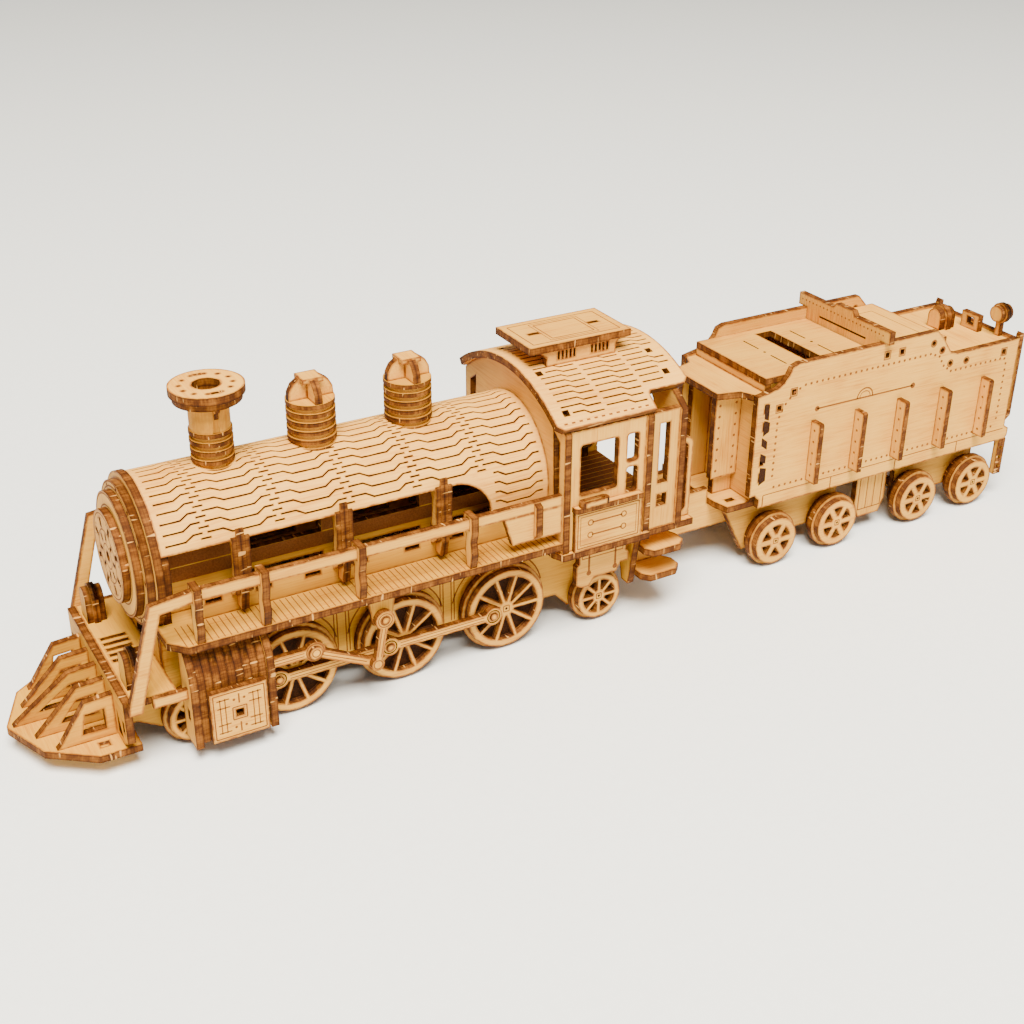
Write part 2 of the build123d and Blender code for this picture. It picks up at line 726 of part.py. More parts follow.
with BuildPart() as cab_ledges:
    for side in (1, -1):
        inner = CAB_WALL_Y + PLY
        ledge = [
            (-9.8, side * inner),
            (-9.8, side * 35.6),
            (15.4, side * 35.6),
            (16.4, side * 34.6),
            (16.4, side * inner),
        ]
        flat(ledge, 51.4, 1.8)
    for side in (1, -1):
        with BuildSketch(FLAT.offset(53.2 + PIECE_GAP)):
            with Locations((9.0, side * 34.5)):
                RectangleRounded(11.0, 3.2, 1.4)
                RectangleRounded(8.0, 1.2, 0.5, mode=Mode.SUBTRACT)
        extrude(amount=2.0)
save(cab_ledges.part, "cab_ledges")

with BuildPart() as cab_floor:
    flat(
        mirrored_flat([(22.0, 30.0), (20.0, 34.4), (-14.1, 34.4), (-14.1, 33.0), (-33.0, 33.0)]),
        CAB_FLOOR_BOTTOM,
    )
    with BuildSketch(FLAT.offset(24.4)):
        with Locations((DRAWBAR_PIN_X, 0)):
            Circle(4.6)
        with Locations((-31.0, 0)):
            Rectangle(18.0, 9.2)
        with Locations((-21.0 - PLY / 2, 0)):
            Rectangle(PLY, 2 * FRAME_Y - 0.04)
        with Locations((DRAWBAR_PIN_X, 0)):
            Circle(PIN_RADIUS + RUNNING_FIT, mode=Mode.SUBTRACT)
    extrude(amount=PLY)
save(cab_floor.part, "cab_floor")

with BuildPart() as cab_roof:
    with BuildSketch(CROSS.offset(ROOF_REAR)):
        with Locations((0, ROOF_Z)):
            Circle(ROOF_RADIUS)
            Circle(ARCH_RADIUS, mode=Mode.SUBTRACT)
        with Locations((0, 78.0)):
            Rectangle(68.4, 30.0, align=(Align.CENTER, Align.MIN), mode=Mode.INTERSECT)
    extrude(amount=ROOF_FRONT - ROOF_REAR)
    for side in (1, -1):
        corner = box_points(ROOF_REAR, ROOF_STEP, *sorted((side * 28.4, side * 36.0)))
        flat(corner, 76.0, 30.0, Mode.SUBTRACT)
        for x in (17.6, -25.0):
            for y in (12.5, 29.5 if x > 0 else 23.0):
                hole = box_points(x - 1.1, x + 1.1, side * y - 1.1, side * y + 1.1)
                flat(hole, 76.0, 30.0, Mode.SUBTRACT)
save(cab_roof.part, "cab_roof")

VENT_FRONT, VENT_REAR = 20.4, -18.4
with BuildPart() as vent_top:
    flat(box_points(VENT_REAR, VENT_FRONT, -11.4, 11.4), 99.0)
    for x in (12.5, -10.5):
        flat(box_points(x - 2.0, x + 2.0, -0.7, 0.7), 99.0, PLY, Mode.SUBTRACT)
save(vent_top.part, "vent_top")

with BuildPart() as vent_sides:
    for side in (1, -1):
        low = near_side(side, 7.6, PLY)
        flank(
            [(-13.4, 90.0), (13.4, 90.0), (13.4, 96.6), (17.0, 99.0), (-15.4, 99.0), (-13.4, 96.6)],
            low,
        )
        for x in range(5):
            flank(box_points(2.4 + x * 1.5, 3.1 + x * 1.5, 95.2, 98.0), low, PLY, Mode.SUBTRACT)
            flank(box_points(-10.4 + x * 1.5, -9.7 + x * 1.5, 95.2, 98.0), low, PLY, Mode.SUBTRACT)
    with BuildSketch(CROSS.offset(-20)):
        with Locations((0, ROOF_Z)):
            Circle(ROOF_RADIUS)
    extrude(amount=40, mode=Mode.SUBTRACT)
save(vent_sides.part, "vent_sides")

with BuildPart() as cab_steps:
    for side in (1, -1):
        for z, reach, inner in ((26.2, 34.6, 18.0), (15.6, 33.0, 20.0)):
            outline = [
                (-14.2, side * inner),
                (-14.2, side * (reach - 3.0)),
                (-16.6, side * reach),
                (-27.2, side * reach),
                (-30.0, side * (reach - 2.6)),
                (-30.0, side * (reach - 7.0)),
                (-26.0, side * inner),
            ]
            flat(outline, z)
save(cab_steps.part, "cab_steps")

with BuildPart() as axle_guards:
    for side in (1, -1):
        low = near_side(side, 25.2, PLY)
        outline = [
            (9.6, CAB_FLOOR_BOTTOM),
            (9.6, 27.0),
            (10.6, 26.0),
            (10.6, 18.6),
            (8.2, 17.4),
            (5.4, 17.4),
            (3.4, 20.4),
            (-5.6, 20.4),
            (-7.4, 23.6),
            (-10.4, 23.6),
            (-10.4, 27.0),
            (-9.4, 28.0),
            (-9.4, CAB_FLOOR_BOTTOM),
        ]
        flank(outline, low)
    for side in (1, -1):
        low = near_side(side, 20.2, PLY)
        flank(box_points(-24.0, -16.6, 18.0, 26.2), low)
        flank(box_points(-24.0, -16.6, 28.6, CAB_FLOOR_BOTTOM), low)
save(axle_guards.part, "axle_guards")

# ======== locomotive wheels ========
SPOKES = 10


def driver_set(x):
    wheel_pair(
        x, DRIVER_FACE_RADIUS, DRIVER_FLANGE_RADIUS, WHEEL_FACE_Y, 2.6, 3.0, SPOKES, 1.3, 2
    )
    for side in (1, -1):
        flank_disc(
            x + CRANK,
            near_side(side, WHEEL_FACE_Y - PLY, PLY),
            DRIVER_FLANGE_RADIUS,
            3.2,
            PLY,
        )
        flank_disc(
            x + CRANK,
            near_side(side, WHEEL_FACE_Y, ROD_PLY + 0.9),
            DRIVER_FLANGE_RADIUS,
            PIN_RADIUS,
            ROD_PLY + 0.9,
        )


with BuildPart() as driver_wheels_front:
    driver_set(DRIVER_X[0])
save(driver_wheels_front.part, "driver_wheels_front")

with BuildPart() as driver_wheels_middle:
    driver_set(DRIVER_X[1])
save(driver_wheels_middle.part, "driver_wheels_middle")

with BuildPart() as driver_wheels_rear:
    driver_set(DRIVER_X[2])
save(driver_wheels_rear.part, "driver_wheels_rear")

with BuildPart() as pilot_wheels:
    wheel_pair(
        PILOT_WHEEL_X, SMALL_FACE_RADIUS, SMALL_FLANGE_RADIUS, WHEEL_FACE_Y, 2.2, 2.6, 8, 1.3, 2
    )
save(pilot_wheels.part, "pilot_wheels")

with BuildPart() as trailing_wheels:
    wheel_pair(
        TRAILING_WHEEL_X, SMALL_FACE_RADIUS, SMALL_FLANGE_RADIUS, WHEEL_FACE_Y, 2.2, 2.6, 8, 1.3, 2
    )
save(trailing_wheels.part, "trailing_wheels")

# ======== rods ========
def coupling_rod(side):
    """Bar over the three crank pins, with a stacked boss at each."""
    low = near_side(side, ROD_Y, ROD_PLY)
    z = DRIVER_FLANGE_RADIUS
    flank(box_points(DRIVER_X[2] + CRANK, DRIVER_X[0] + CRANK, z - 1.5, z + 1.5), low, ROD_PLY)
    for x in DRIVER_X:
        flank_disc(x + CRANK, low, z, 3.3, ROD_PLY)
    for x in DRIVER_X:
        clearance = RUNNING_FIT if x == DRIVER_X[1] else 0.25
        flank_disc(x + CRANK, low, z, PIN_RADIUS + clearance, ROD_PLY, Mode.SUBTRACT)


with BuildPart() as coupling_rod_left:
    coupling_rod(1)
save(coupling_rod_left.part, "coupling_rod_left")

with BuildPart() as coupling_rod_right:
    coupling_rod(-1)
save(coupling_rod_right.part, "coupling_rod_right")


def piston_rod(side):
    """Rod from the cylinder to its crosshead, with the link down to the lever."""
    low = near_side(side, LINK_Y, ROD_PLY)
    flank(box_points(JOINT_X, 138.0, JOINT_Z - 1.6, JOINT_Z + 1.6), low, ROD_PLY)
    flank_disc(JOINT_X, low, JOINT_Z, 3.4, ROD_PLY)
    link = [
        (JOINT_X, JOINT_Z + 1.5),
        (LEVER_END_X + 2.0, LEVER_END_Z + 1.9),
        (LEVER_END_X - 2.2, LEVER_END_Z + 1.0),
        (LEVER_END_X - 2.2, LEVER_END_Z - 1.4),
        (LEVER_END_X + 1.6, LEVER_END_Z - 1.4),
        (JOINT_X + 0.8, JOINT_Z - 1.5),
    ]
    flank(link, low, ROD_PLY)
    outer = near_side(side, LINK_Y + ROD_PLY, 1.0)
    flank_disc(JOINT_X, outer, JOINT_Z, 2.2, 1.0)


with BuildPart() as piston_rod_left:
    piston_rod(1)
save(piston_rod_left.part, "piston_rod_left")

with BuildPart() as piston_rod_right:
    piston_rod(-1)
save(piston_rod_right.part, "piston_rod_right")


def swing_lever(side):
    """Lever that hangs from a pin under the deck; its lower end rides beside the link."""
    low = near_side(side, LEVER_Y, ROD_PLY)
    outline = [
        (LEVER_TOP_X - 1.4, LEVER_TOP_Z),
        (LEVER_TOP_X + 1.4, LEVER_TOP_Z),
        (LEVER_END_X + 1.3, LEVER_END_Z),
        (LEVER_END_X - 1.3, LEVER_END_Z),
    ]
    flank(outline, low, ROD_PLY)
    flank_disc(LEVER_TOP_X, low, LEVER_TOP_Z, 3.3, ROD_PLY)
    flank_disc(LEVER_END_X, low, LEVER_END_Z, 2.2, ROD_PLY)
    flank_disc(
        LEVER_TOP_X, low, LEVER_TOP_Z, PIN_RADIUS + RUNNING_FIT, ROD_PLY, Mode.SUBTRACT
    )


with BuildPart() as swing_lever_left:
    swing_lever(1)
save(swing_lever_left.part, "swing_lever_left")

with BuildPart() as swing_lever_right:
    swing_lever(-1)
save(swing_lever_right.part, "swing_lever_right")

# ======== tender body ========
SIDE_OUTLINE = [
    (TENDER_FRONT + 2.4, 31.4),
    (TENDER_FRONT, 31.4),
    (TENDER_FRONT - 2.0, 29.5),
    (TENDER_FRONT - 2.0, 25.9),
    (TENDER_REAR - 1.4, 25.9),
    (TENDER_REAR - 2.4, 27.4),
    (TENDER_REAR - 2.4, 30.4),
    (TENDER_REAR, 32.0),
    (TENDER_REAR, 69.2),
    (-161.0, 69.2),
    (-157.4, 70.2),
    (-152.6, 76.6),
    (-149.0, 80.4),
    (-83.0, 80.4),
    (-80.2, 79.4),
    (-79.0, 76.8),
    (-77.0, 74.2),
    (-74.0, 72.4),
    (-65.6, 70.8),
]


def tender_side(side):
    low = near_side(side, TENDER_WALL_Y, PLY)
    flank(SIDE_OUTLINE, low)
    for z in (37.0, 43.4, 57.0, 64.0):
        flank(box_points(-70.6, -69.0, z, z + 3.4), low, PLY, Mode.SUBTRACT)
    for x, z in ((-124.6, 75.4), (-131.8, 75.4), (-81.7, 69.7), (-75.7, 64.6), (-186.0, 65.0)):
        flank(box_points(x - 0.9, x + 0.9, z - 1.0, z + 1.0), low, PLY, Mode.SUBTRACT)
    for x, z in ((-147.5, 75.6), (-152.4, 72.0), (-157.6, 65.8), (-166.0, 65.4)):
        flank_disc(x, low, z, 0.9, PLY, Mode.SUBTRACT)


with BuildPart() as tender_sides:
    tender_side(1)
    tender_side(-1)
save(tender_sides.part, "tender_sides")

STIFFENER_X = (-92.3, -112.9, -133.5, -155.1, -176.7)
STIFFENER_PLY = 2.0
STIFFENER_OUT = 5.0
with BuildPart() as tender_stiffeners:
    for side in (1, -1):
        wall = TENDER_WALL_Y + PLY
        edge = wall + STIFFENER_OUT
        fin = [(wall, 32.6), (edge, 32.6), (edge, 56.0), (edge - 0.6, 56.6), (wall, 56.6)]
        for x in STIFFENER_X:
            cross([(side * a, b) for a, b in fin], x - STIFFENER_PLY / 2, STIFFENER_PLY)
save(tender_stiffeners.part, "tender_stiffeners")

with BuildPart() as tender_walls:
    for x, top in ((TENDER_FRONT - PLY, 68.4), (-124.8, 80.4), (TENDER_REAR, 69.2)):
        cross(box_points(-TENDER_WALL_Y, TENDER_WALL_Y, TENDER_FLOOR_TOP, top), x)
    crest = [(25.4, 80.4), (25.4, 85.2), (6.0, 85.2), (4.6, 87.0)]
    cross(mirrored(crest), -124.8)
    cross(box_points(-TENDER_WALL_Y, TENDER_WALL_Y, 68.4, 73.6), -156.2)
    cross(box_points(-TENDER_WALL_Y, TENDER_WALL_Y, 70.8, 73.6), -72.8)
save(tender_walls.part, "tender_walls")

with BuildPart() as tender_floor:
    flat(
        box_points(TENDER_REAR - 2.4, TENDER_FRONT + 2.4, -TENDER_WALL_Y, TENDER_WALL_Y),
        TENDER_FLOOR_BOTTOM,
    )
    flat(
        mirrored_flat([(-65.6, 20.6), (-58.0, 20.6), (-56.4, 14.0)]),
        TENDER_FLOOR_BOTTOM,
    )
    for side in (1, -1):
        notch = box_points(-64.0, -60.5, side * 16.0 - 1.0, side * 16.0 + 1.0)
        flat(notch, TENDER_FLOOR_BOTTOM, PLY, Mode.SUBTRACT)
    for x in BOGIE_X:
        radius = BOGIE_PIN_RADIUS + RUNNING_FIT
        flat_disc(x, 0, TENDER_FLOOR_BOTTOM, radius, PLY, Mode.SUBTRACT)
    flat(box_points(-66.0, -36.4, -8.0, 8.0), 18.6)
    flat_disc(DRAWBAR_PIN_X, 0, 18.6 + PLY, PIN_RADIUS, 8.6)
save(tender_floor.part, "tender_floor")

with BuildPart() as tender_decks:
    flat(box_points(-122.2, TENDER_FRONT - PLY, -TENDER_WALL_Y, TENDER_WALL_Y), 73.6)
    flat(box_points(-101.5, -94.5, -16.0, 16.0), 73.6, PLY, Mode.SUBTRACT)
    flat(
        mirrored_flat([(-70.4, 20.6), (-66.0, 20.6), (-63.6, 15.6), (-55.0, 13.4)]),
        68.4,
    )
    flat(box_points(-156.2, -124.8, -TENDER_WALL_Y, TENDER_WALL_Y), 73.6)
    flat(box_points(TENDER_REAR + PLY, -156.2, -TENDER_WALL_Y, TENDER_WALL_Y), 66.0)
save(tender_decks.part, "tender_decks")

with BuildPart() as tender_fittings:
    for layer, radius in enumerate((3.4, 4.4, 3.4)):
        x = -181.0 + layer * 2.6
        cross(box_points(-3.0 - radius, -3.0 + radius, 68.4, 73.0), x, 2.6)
        cross_disc(x, -3.0, 73.0, radius, 2.6)
    cross(box_points(0.0, 9.0, 68.4, 75.0), -187.4)
    cross(box_points(3.0, 6.4, 70.4, 73.4), -187.4, PLY, Mode.SUBTRACT)
    for layer, radius in enumerate((3.2, 4.0, 3.2)):
        cross_disc(-193.2 + layer * 2.0, 15.0, 77.6, radius, 2.0)
    cross(box_points(13.8, 16.2, 68.4, 75.0), -191.2, 2.0)
save(tender_fittings.part, "tender_fittings")

with BuildPart() as tender_brackets:
    for side in (1, -1):
        low = near_side(side, TENDER_WALL_Y + 0.2, 2.0)
        flank(
            [
                (TENDER_REAR, 34.0),
                (TENDER_REAR - 2.4, 36.0),
                (TENDER_REAR - 2.4, 70.6),
                (TENDER_REAR - 0.6, 71.4),
                (TENDER_REAR, 70.0),
                (TENDER_REAR, 66.0),
                (TENDER_REAR - 1.2, 65.0),
                (TENDER_REAR - 1.2, 38.0),
                (TENDER_REAR, 37.0),
            ],
            low,
            2.0,
        )
        low = near_side(side, TENDER_WALL_Y, PLY)
        flank(box_points(-195.9, -192.2, 10.4, 25.9), low)
        for z in (13.0, 17.0, 21.0):
            flank(box_points(-194.8, -193.2, z, z + 1.8), low, PLY, Mode.SUBTRACT)
    for side in (1, -1):
        low = near_side(side, 16.4, PLY)
        flank(
            [
                (-136.9, 25.9),
                (-121.9, 25.9),
                (-121.9, 12.0),
                (-124.2, 6.4),
                (-134.6, 6.4),
                (-136.9, 12.0),
            ],
            low,
        )
    for side in (1, -1):
        low = near_side(side, 8.0, PLY)
        flank(
            [
                (-36.4, 29.0),
                (-36.4, 20.0),
                (-40.0, 15.8),
                (-70.0, 15.8),
                (-70.0, 25.9),
                (-56.4, 25.9),
                (-56.4, 32.0),
                (-40.0, 32.0),
            ],
            low,
        )
    for side in (1, -1):
        low = near_side(side, 9.0, PLY)
        flank(box_points(TENDER_FRONT, -56.4, 36.0, 68.4), low)
        low = near_side(side, 6.6 - PIECE_GAP, PLY)
        flank(box_points(TENDER_FRONT, -59.4, TENDER_FLOOR_TOP, 68.4), low)
save(tender_brackets.part, "tender_brackets")

# ======== bogies ========


def bogie_sides(x):
    for side in (1, -1):
        low = near_side(side, 13.2, PLY)
        z = TENDER_FLANGE_RADIUS
        outline = [
            (x + 33.0, BOGIE_TOP),
            (x + 24.0, 5.4),
            (x + 18.6, 5.4),
            (x + 10.0, 8.4),
            (x - 10.0, 8.4),
            (x - 18.6, 5.4),
            (x - 20.6, 8.4),
            (x - 20.6, BOGIE_TOP),
        ]
        if x < BOGIE_X[0]:
            outline[0] = (x + 20.6, BOGIE_TOP)
            outline[1] = (x + 20.6, 8.4)
        flank(outline, low)
        for half in (BOGIE_HALF_BASE, -BOGIE_HALF_BASE):
            flank_disc(x + half, low, z, AXLE_RADIUS + RUNNING_FIT, PLY, Mode.SUBTRACT)


def bogie_bolster(x):
    """Cross plate with a turntable, and the pin that turns in the tender's floor."""
    flat(box_points(x - 8.0, x + 8.0, -13.2, 13.2), BOGIE_TOP - PLY)
    flat_disc(x, 0, BOGIE_TOP, 6.0, TENDER_FLOOR_BOTTOM - BOGIE_TOP - 0.1)
    flat_disc(x, 0, BOGIE_TOP, BOGIE_PIN_RADIUS, TENDER_FLOOR_TOP - BOGIE_TOP + 0.4)


with BuildPart() as bogie_sides_front:
    bogie_sides(BOGIE_X[0])
save(bogie_sides_front.part, "bogie_sides_front")

with BuildPart() as bogie_sides_rear:
    bogie_sides(BOGIE_X[1])
save(bogie_sides_rear.part, "bogie_sides_rear")

with BuildPart() as bogie_bolster_front:
    bogie_bolster(BOGIE_X[0])
save(bogie_bolster_front.part, "bogie_bolster_front")

with BuildPart() as bogie_bolster_rear:
    bogie_bolster(BOGIE_X[1])
save(bogie_bolster_rear.part, "bogie_bolster_rear")


def tender_wheels(x):
    wheel_pair(x, TENDER_FACE_RADIUS, TENDER_FLANGE_RADIUS, WHEEL_FACE_Y, 3.0, 3.0, 6, 2.4, 3)


with BuildPart() as tender_wheels_1:
    tender_wheels(BOGIE_X[0] + BOGIE_HALF_BASE)
save(tender_wheels_1.part, "tender_wheels_1")

with BuildPart() as tender_wheels_2:
    tender_wheels(BOGIE_X[0] - BOGIE_HALF_BASE)
save(tender_wheels_2.part, "tender_wheels_2")

with BuildPart() as tender_wheels_3:
    tender_wheels(BOGIE_X[1] + BOGIE_HALF_BASE)
save(tender_wheels_3.part, "tender_wheels_3")

with BuildPart() as tender_wheels_4:
    tender_wheels(BOGIE_X[1] - BOGIE_HALF_BASE)
save(tender_wheels_4.part, "tender_wheels_4")
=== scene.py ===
"""Looks of the plywood locomotive: laser-cut birch sheets, bent slit skins, engraving and rivets.

Lengths are in millimetres in this script, and MM turns them into Blender's metres.
"""

import json
import math
import random

import bmesh
import bpy
import numpy as np
from mathutils import Matrix, Vector
from mathutils.geometry import delaunay_2d_cdt


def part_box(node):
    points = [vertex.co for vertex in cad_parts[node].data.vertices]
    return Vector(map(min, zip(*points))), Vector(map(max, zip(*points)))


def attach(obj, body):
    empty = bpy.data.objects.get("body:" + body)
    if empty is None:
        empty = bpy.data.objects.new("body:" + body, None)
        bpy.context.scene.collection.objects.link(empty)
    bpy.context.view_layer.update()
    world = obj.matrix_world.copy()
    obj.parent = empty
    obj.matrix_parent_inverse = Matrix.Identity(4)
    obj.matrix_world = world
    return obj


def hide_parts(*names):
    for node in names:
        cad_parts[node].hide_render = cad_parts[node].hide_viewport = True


MM = 0.001
X, Y, Z = 0, 1, 2

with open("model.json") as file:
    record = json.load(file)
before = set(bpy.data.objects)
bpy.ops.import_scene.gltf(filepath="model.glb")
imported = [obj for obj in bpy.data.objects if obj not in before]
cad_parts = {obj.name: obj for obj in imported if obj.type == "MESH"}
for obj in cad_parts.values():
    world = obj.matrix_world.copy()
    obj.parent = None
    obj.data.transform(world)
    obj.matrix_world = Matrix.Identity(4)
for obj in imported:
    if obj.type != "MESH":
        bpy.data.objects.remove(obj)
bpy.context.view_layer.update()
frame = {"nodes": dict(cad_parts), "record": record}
body_of_node = {
    node: body
    for body, nodes in frame["record"]["behaviour"]["bodies"].items()
    for node in nodes
}

# ======== materials ========
BUMP_DEPTH = 0.1  # height of the grain
SHEEN = 0.10  # bare plywood reflects little


def new_material(name):
    material = bpy.data.materials.new(name)
    material.use_nodes = True
    material.node_tree.nodes.clear()
    return material, Graph(material.node_tree)


class Graph:
    """Short calls for adding nodes to one material."""

    def __init__(self, tree):
        self.tree = tree

    def node(self, kind, inputs=(), **settings):
        """Adds a node. An input is a socket to link, or a plain value."""
        node = self.tree.nodes.new(kind)
        for key, value in settings.items():
            setattr(node, key, value)
        for key, value in dict(inputs).items():
            if isinstance(value, bpy.types.NodeSocket):
                self.tree.links.new(value, node.inputs[key])
            else:
                node.inputs[key].default_value = value
        return node

    def attribute(self, name):
        return self.node("ShaderNodeAttribute", attribute_name=name).outputs["Fac"]

    def math(self, operation, *inputs, clamp=False):
        node = self.node("ShaderNodeMath", enumerate(inputs), operation=operation)
        node.use_clamp = clamp
        return node.outputs[0]

    def mix(self, factor, a, b, blend="MIX"):
        inputs = {0: factor, 6: a, 7: b}
        node = self.node("ShaderNodeMix", inputs, data_type="RGBA", blend_type=blend)
        return node.outputs[2]

    def noise(self, vector, scale, detail=3.0, roughness=0.55, distortion=0.0):
        node = self.node(
            "ShaderNodeTexNoise",
            {
                "Vector": vector,
                "Scale": scale,
                "Detail": detail,
                "Roughness": roughness,
                "Distortion": distortion,
            },
        )
        return node.outputs["Fac"]

    def ramp(self, factor, stops):
        node = self.node("ShaderNodeValToRGB", {"Fac": factor})
        ramp = node.color_ramp
        while len(ramp.elements) < len(stops):
            ramp.elements.new(0.5)
        for element, (place, colour) in zip(ramp.elements, stops):
            element.position = place
            element.color = colour
        return node.outputs["Color"]

    def position(self, stretch):
        """Object coordinates in millimetres, moved by the piece's tone and stretched."""
        place = self.node("ShaderNodeTexCoord").outputs["Object"]
        inputs = {0: place, 1: self.attribute("tone")}
        moved = self.node("ShaderNodeVectorMath", inputs, operation="ADD").outputs[0]
        inputs = {"Vector": moved, "Scale": [s / MM for s in stretch]}
        return self.node("ShaderNodeMapping", inputs).outputs[0]

    def finish(self, colour, roughness, height, bump):
        inputs = {"Height": height, "Strength": bump, "Distance": BUMP_DEPTH * MM}
        normal = self.node("ShaderNodeBump", inputs).outputs[0]
        shader = self.node(
            "ShaderNodeBsdfPrincipled",
            {
                "Base Color": colour,
                "Roughness": roughness,
                "Normal": normal,
                "Specular IOR Level": SHEEN,
            },
        )
        self.node("ShaderNodeOutputMaterial", {"Surface": shader.outputs[0]})


def grey(value):
    return (value, value, value, 1.0)


VENEER_LIGHT = (0.76, 0.415, 0.092, 1.0)
VENEER_MIDDLE = (0.70, 0.352, 0.068, 1.0)
VENEER_DARK = (0.55, 0.235, 0.036, 1.0)
SCORCH = (0.20, 0.058, 0.009, 1.0)
CHAR_DARK = (0.017, 0.004, 0.0008, 1.0)
CHAR_MIDDLE = (0.080, 0.023, 0.0032, 1.0)
CHAR_LIGHT = (0.26, 0.095, 0.014, 1.0)
CHAR_SPARK = (0.60, 0.31, 0.085, 1.0)
HONEY = (0.75, 0.71, 0.31, 1.0)  # tints the flat sheets, by the vertex layer of that name
TONE_LEAST, TONE_SPREAD = 0.89, 0.22  # brightness of a sheet, by chance


def stretched(scale, axis, along):
    """The same scale on every axis but one."""
    scales = [scale, scale, scale]
    scales[axis] = along
    return scales


def veneer(name, grain_axis):
    """Sanded birch face: fine grain along one axis, faint cloud, and a scorched rim."""
    material, g = new_material(name)
    stretch = stretched(1.0, grain_axis, 0.045)
    grain = g.noise(g.position(stretch), 1.6, 5.0, 0.62, 0.25)
    fibre = g.noise(g.position([s * 5.0 for s in stretch]), 1.8, 2.0, 0.5)
    cloud = g.noise(g.position((0.05, 0.05, 0.05)), 1.2, 2.0, 0.5)
    figure = g.math("ADD", g.math("MULTIPLY", grain, 0.62), g.math("MULTIPLY", cloud, 0.38))
    colour = g.ramp(
        figure,
        ((0.34, VENEER_DARK), (0.47, VENEER_MIDDLE), (0.62, VENEER_LIGHT)),
    )
    flecks = g.ramp(fibre, ((0.30, grey(0.0)), (0.42, grey(1.0))))
    colour = g.mix(0.10, colour, g.mix(flecks, SCORCH, colour))
    tone = g.math("MULTIPLY_ADD", g.attribute("tone"), TONE_SPREAD, TONE_LEAST)
    tint = g.node("ShaderNodeCombineColor", {0: tone, 1: tone, 2: tone}).outputs[0]
    colour = g.mix(1.0, colour, tint, "MULTIPLY")
    colour = g.mix(g.attribute("honey"), colour, HONEY, "MULTIPLY")
    smoke = g.noise(g.position((0.35, 0.35, 0.35)), 1.5, 2.0, 0.5)
    rim = g.math("MULTIPLY", g.attribute("burn"), g.math("MULTIPLY", smoke, 1.9), clamp=True)
    colour = g.mix(rim, colour, SCORCH)
    g.finish(colour, 0.58, grain, 0.10)
    return material


def charred(name, thickness_axis):
    """Laser-burnt edge: dark at the glue lines, paler in the core, with rare bright nicks."""
    material, g = new_material(name)
    blotch = g.noise(g.position(stretched(0.30, thickness_axis, 0.12)), 1.0, 3.0, 0.6, 0.2)
    fine = g.noise(g.position(stretched(2.2, thickness_axis, 0.25)), 1.0, 2.0, 0.55)
    nick = g.noise(g.position(stretched(0.85, thickness_axis, 0.14)), 1.3, 0.0, 0.5)
    ply = g.math("FRACT", g.attribute("ply"))
    core = g.ramp(
        ply,
        (
            (0.00, grey(0.05)),
            (0.12, grey(0.46)),
            (0.38, grey(0.62)),
            (0.50, grey(0.48)),
            (0.62, grey(0.62)),
            (0.88, grey(0.46)),
            (1.00, grey(0.05)),
        ),
    )
    level = g.math("ADD", g.math("MULTIPLY", blotch, 0.55), g.math("MULTIPLY", core, 0.33))
    level = g.math("ADD", level, g.math("MULTIPLY", fine, 0.22))
    colour = g.ramp(
        level,
        ((0.36, CHAR_DARK), (0.54, CHAR_MIDDLE), (0.72, CHAR_LIGHT)),
    )
    spark = g.ramp(nick, ((0.74, grey(0.0)), (0.79, grey(1.0))))
    colour = g.mix(g.math("MULTIPLY", spark, 0.8), colour, CHAR_SPARK)
    g.finish(colour, 0.7, fine, 0.2)
    return material


def engraved(name, colour_dark, colour_light):
    """Engraved line: wood browned by a light pass of the laser. The dark one is also laid as
    painted shade.
    """
    material, g = new_material(name)
    fine = g.noise(g.position((1.2, 1.2, 1.2)), 1.4, 3.0, 0.6)
    colour = g.ramp(fine, ((0.35, colour_dark), (0.65, colour_light)))
    g.finish(colour, 0.75, fine, 0.2)
    return material


FACE = [veneer(f"birch_grain_{'xyz'[axis]}", axis) for axis in (X, Y, Z)]
EDGE = [charred(f"burnt_edge_{'xyz'[axis]}", axis) for axis in (X, Y, Z)]
ENGRAVING = engraved("engraved_line", (0.15, 0.046, 0.009, 1.0), (0.22, 0.075, 0.016, 1.0))
# The dark engraving also stands as painted shade: discs behind the spokes, the band under the
# skin, the slit bottoms.
DARK_ENGRAVING_AND_SHADE = engraved("engraved_dark_and_painted_shade", (0.016, 0.005, 0.0012, 1.0), (0.042, 0.013, 0.003, 1.0))
MATERIALS = FACE + EDGE + [ENGRAVING, DARK_ENGRAVING_AND_SHADE]

# ======== marks on a face: burnt engraving, and painted shade ===
LIFT = 0.03  # how far a mark, engraved or painted shade, stands off its face
LINE = 0.42  # width of an engraved line
RIVET = 0.55  # radius of an engraved rivet
BURNT = MATERIALS.index(EDGE[X])  # index of the first burnt edge; faces start at 0
BROWN, BLACK = MATERIALS.index(ENGRAVING), MATERIALS.index(DARK_ENGRAVING_AND_SHADE)  # indices of the marks


def flank_of(node):
    """The outermost y of a CAD node."""
    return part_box(node)[1].y / MM


def top_of(node):
    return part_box(node)[1].z / MM


def front_of(node):
    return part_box(node)[1].x / MM


def axle_of(node):
    """The (x, z) of a wheel set's axle."""
    low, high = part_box(node)
    return (low.x + high.x) / 2 / MM, (low.z + high.z) / 2 / MM


def flank_face(side, y):
    """Places (x, z) points on a face that looks sideways."""
    return lambda p: (p[0], side * (y + LIFT), p[1])


def top_face(z):
    """Places (x, y) points on a face that looks up."""
    return lambda p: (p[0], p[1], z + LIFT)


def front_face(x):
    """Places (y, z) points on a face that looks forwards."""
    return lambda p: (x + LIFT, p[0], p[1])


def ribbon(points, width):
    """Outline of a line through the points, with square ends."""
    left, right = [], []
    count = len(points)
    for index, point in enumerate(points):
        before = Vector(points[max(index - 1, 0)])
        after = Vector(points[min(index + 1, count - 1)])
        run = (after - before).normalized()
        out = Vector((-run.y, run.x)) * (width / 2)
        left.append(tuple(Vector(point) + out))
        right.append(tuple(Vector(point) - out))
    return left + right[::-1]


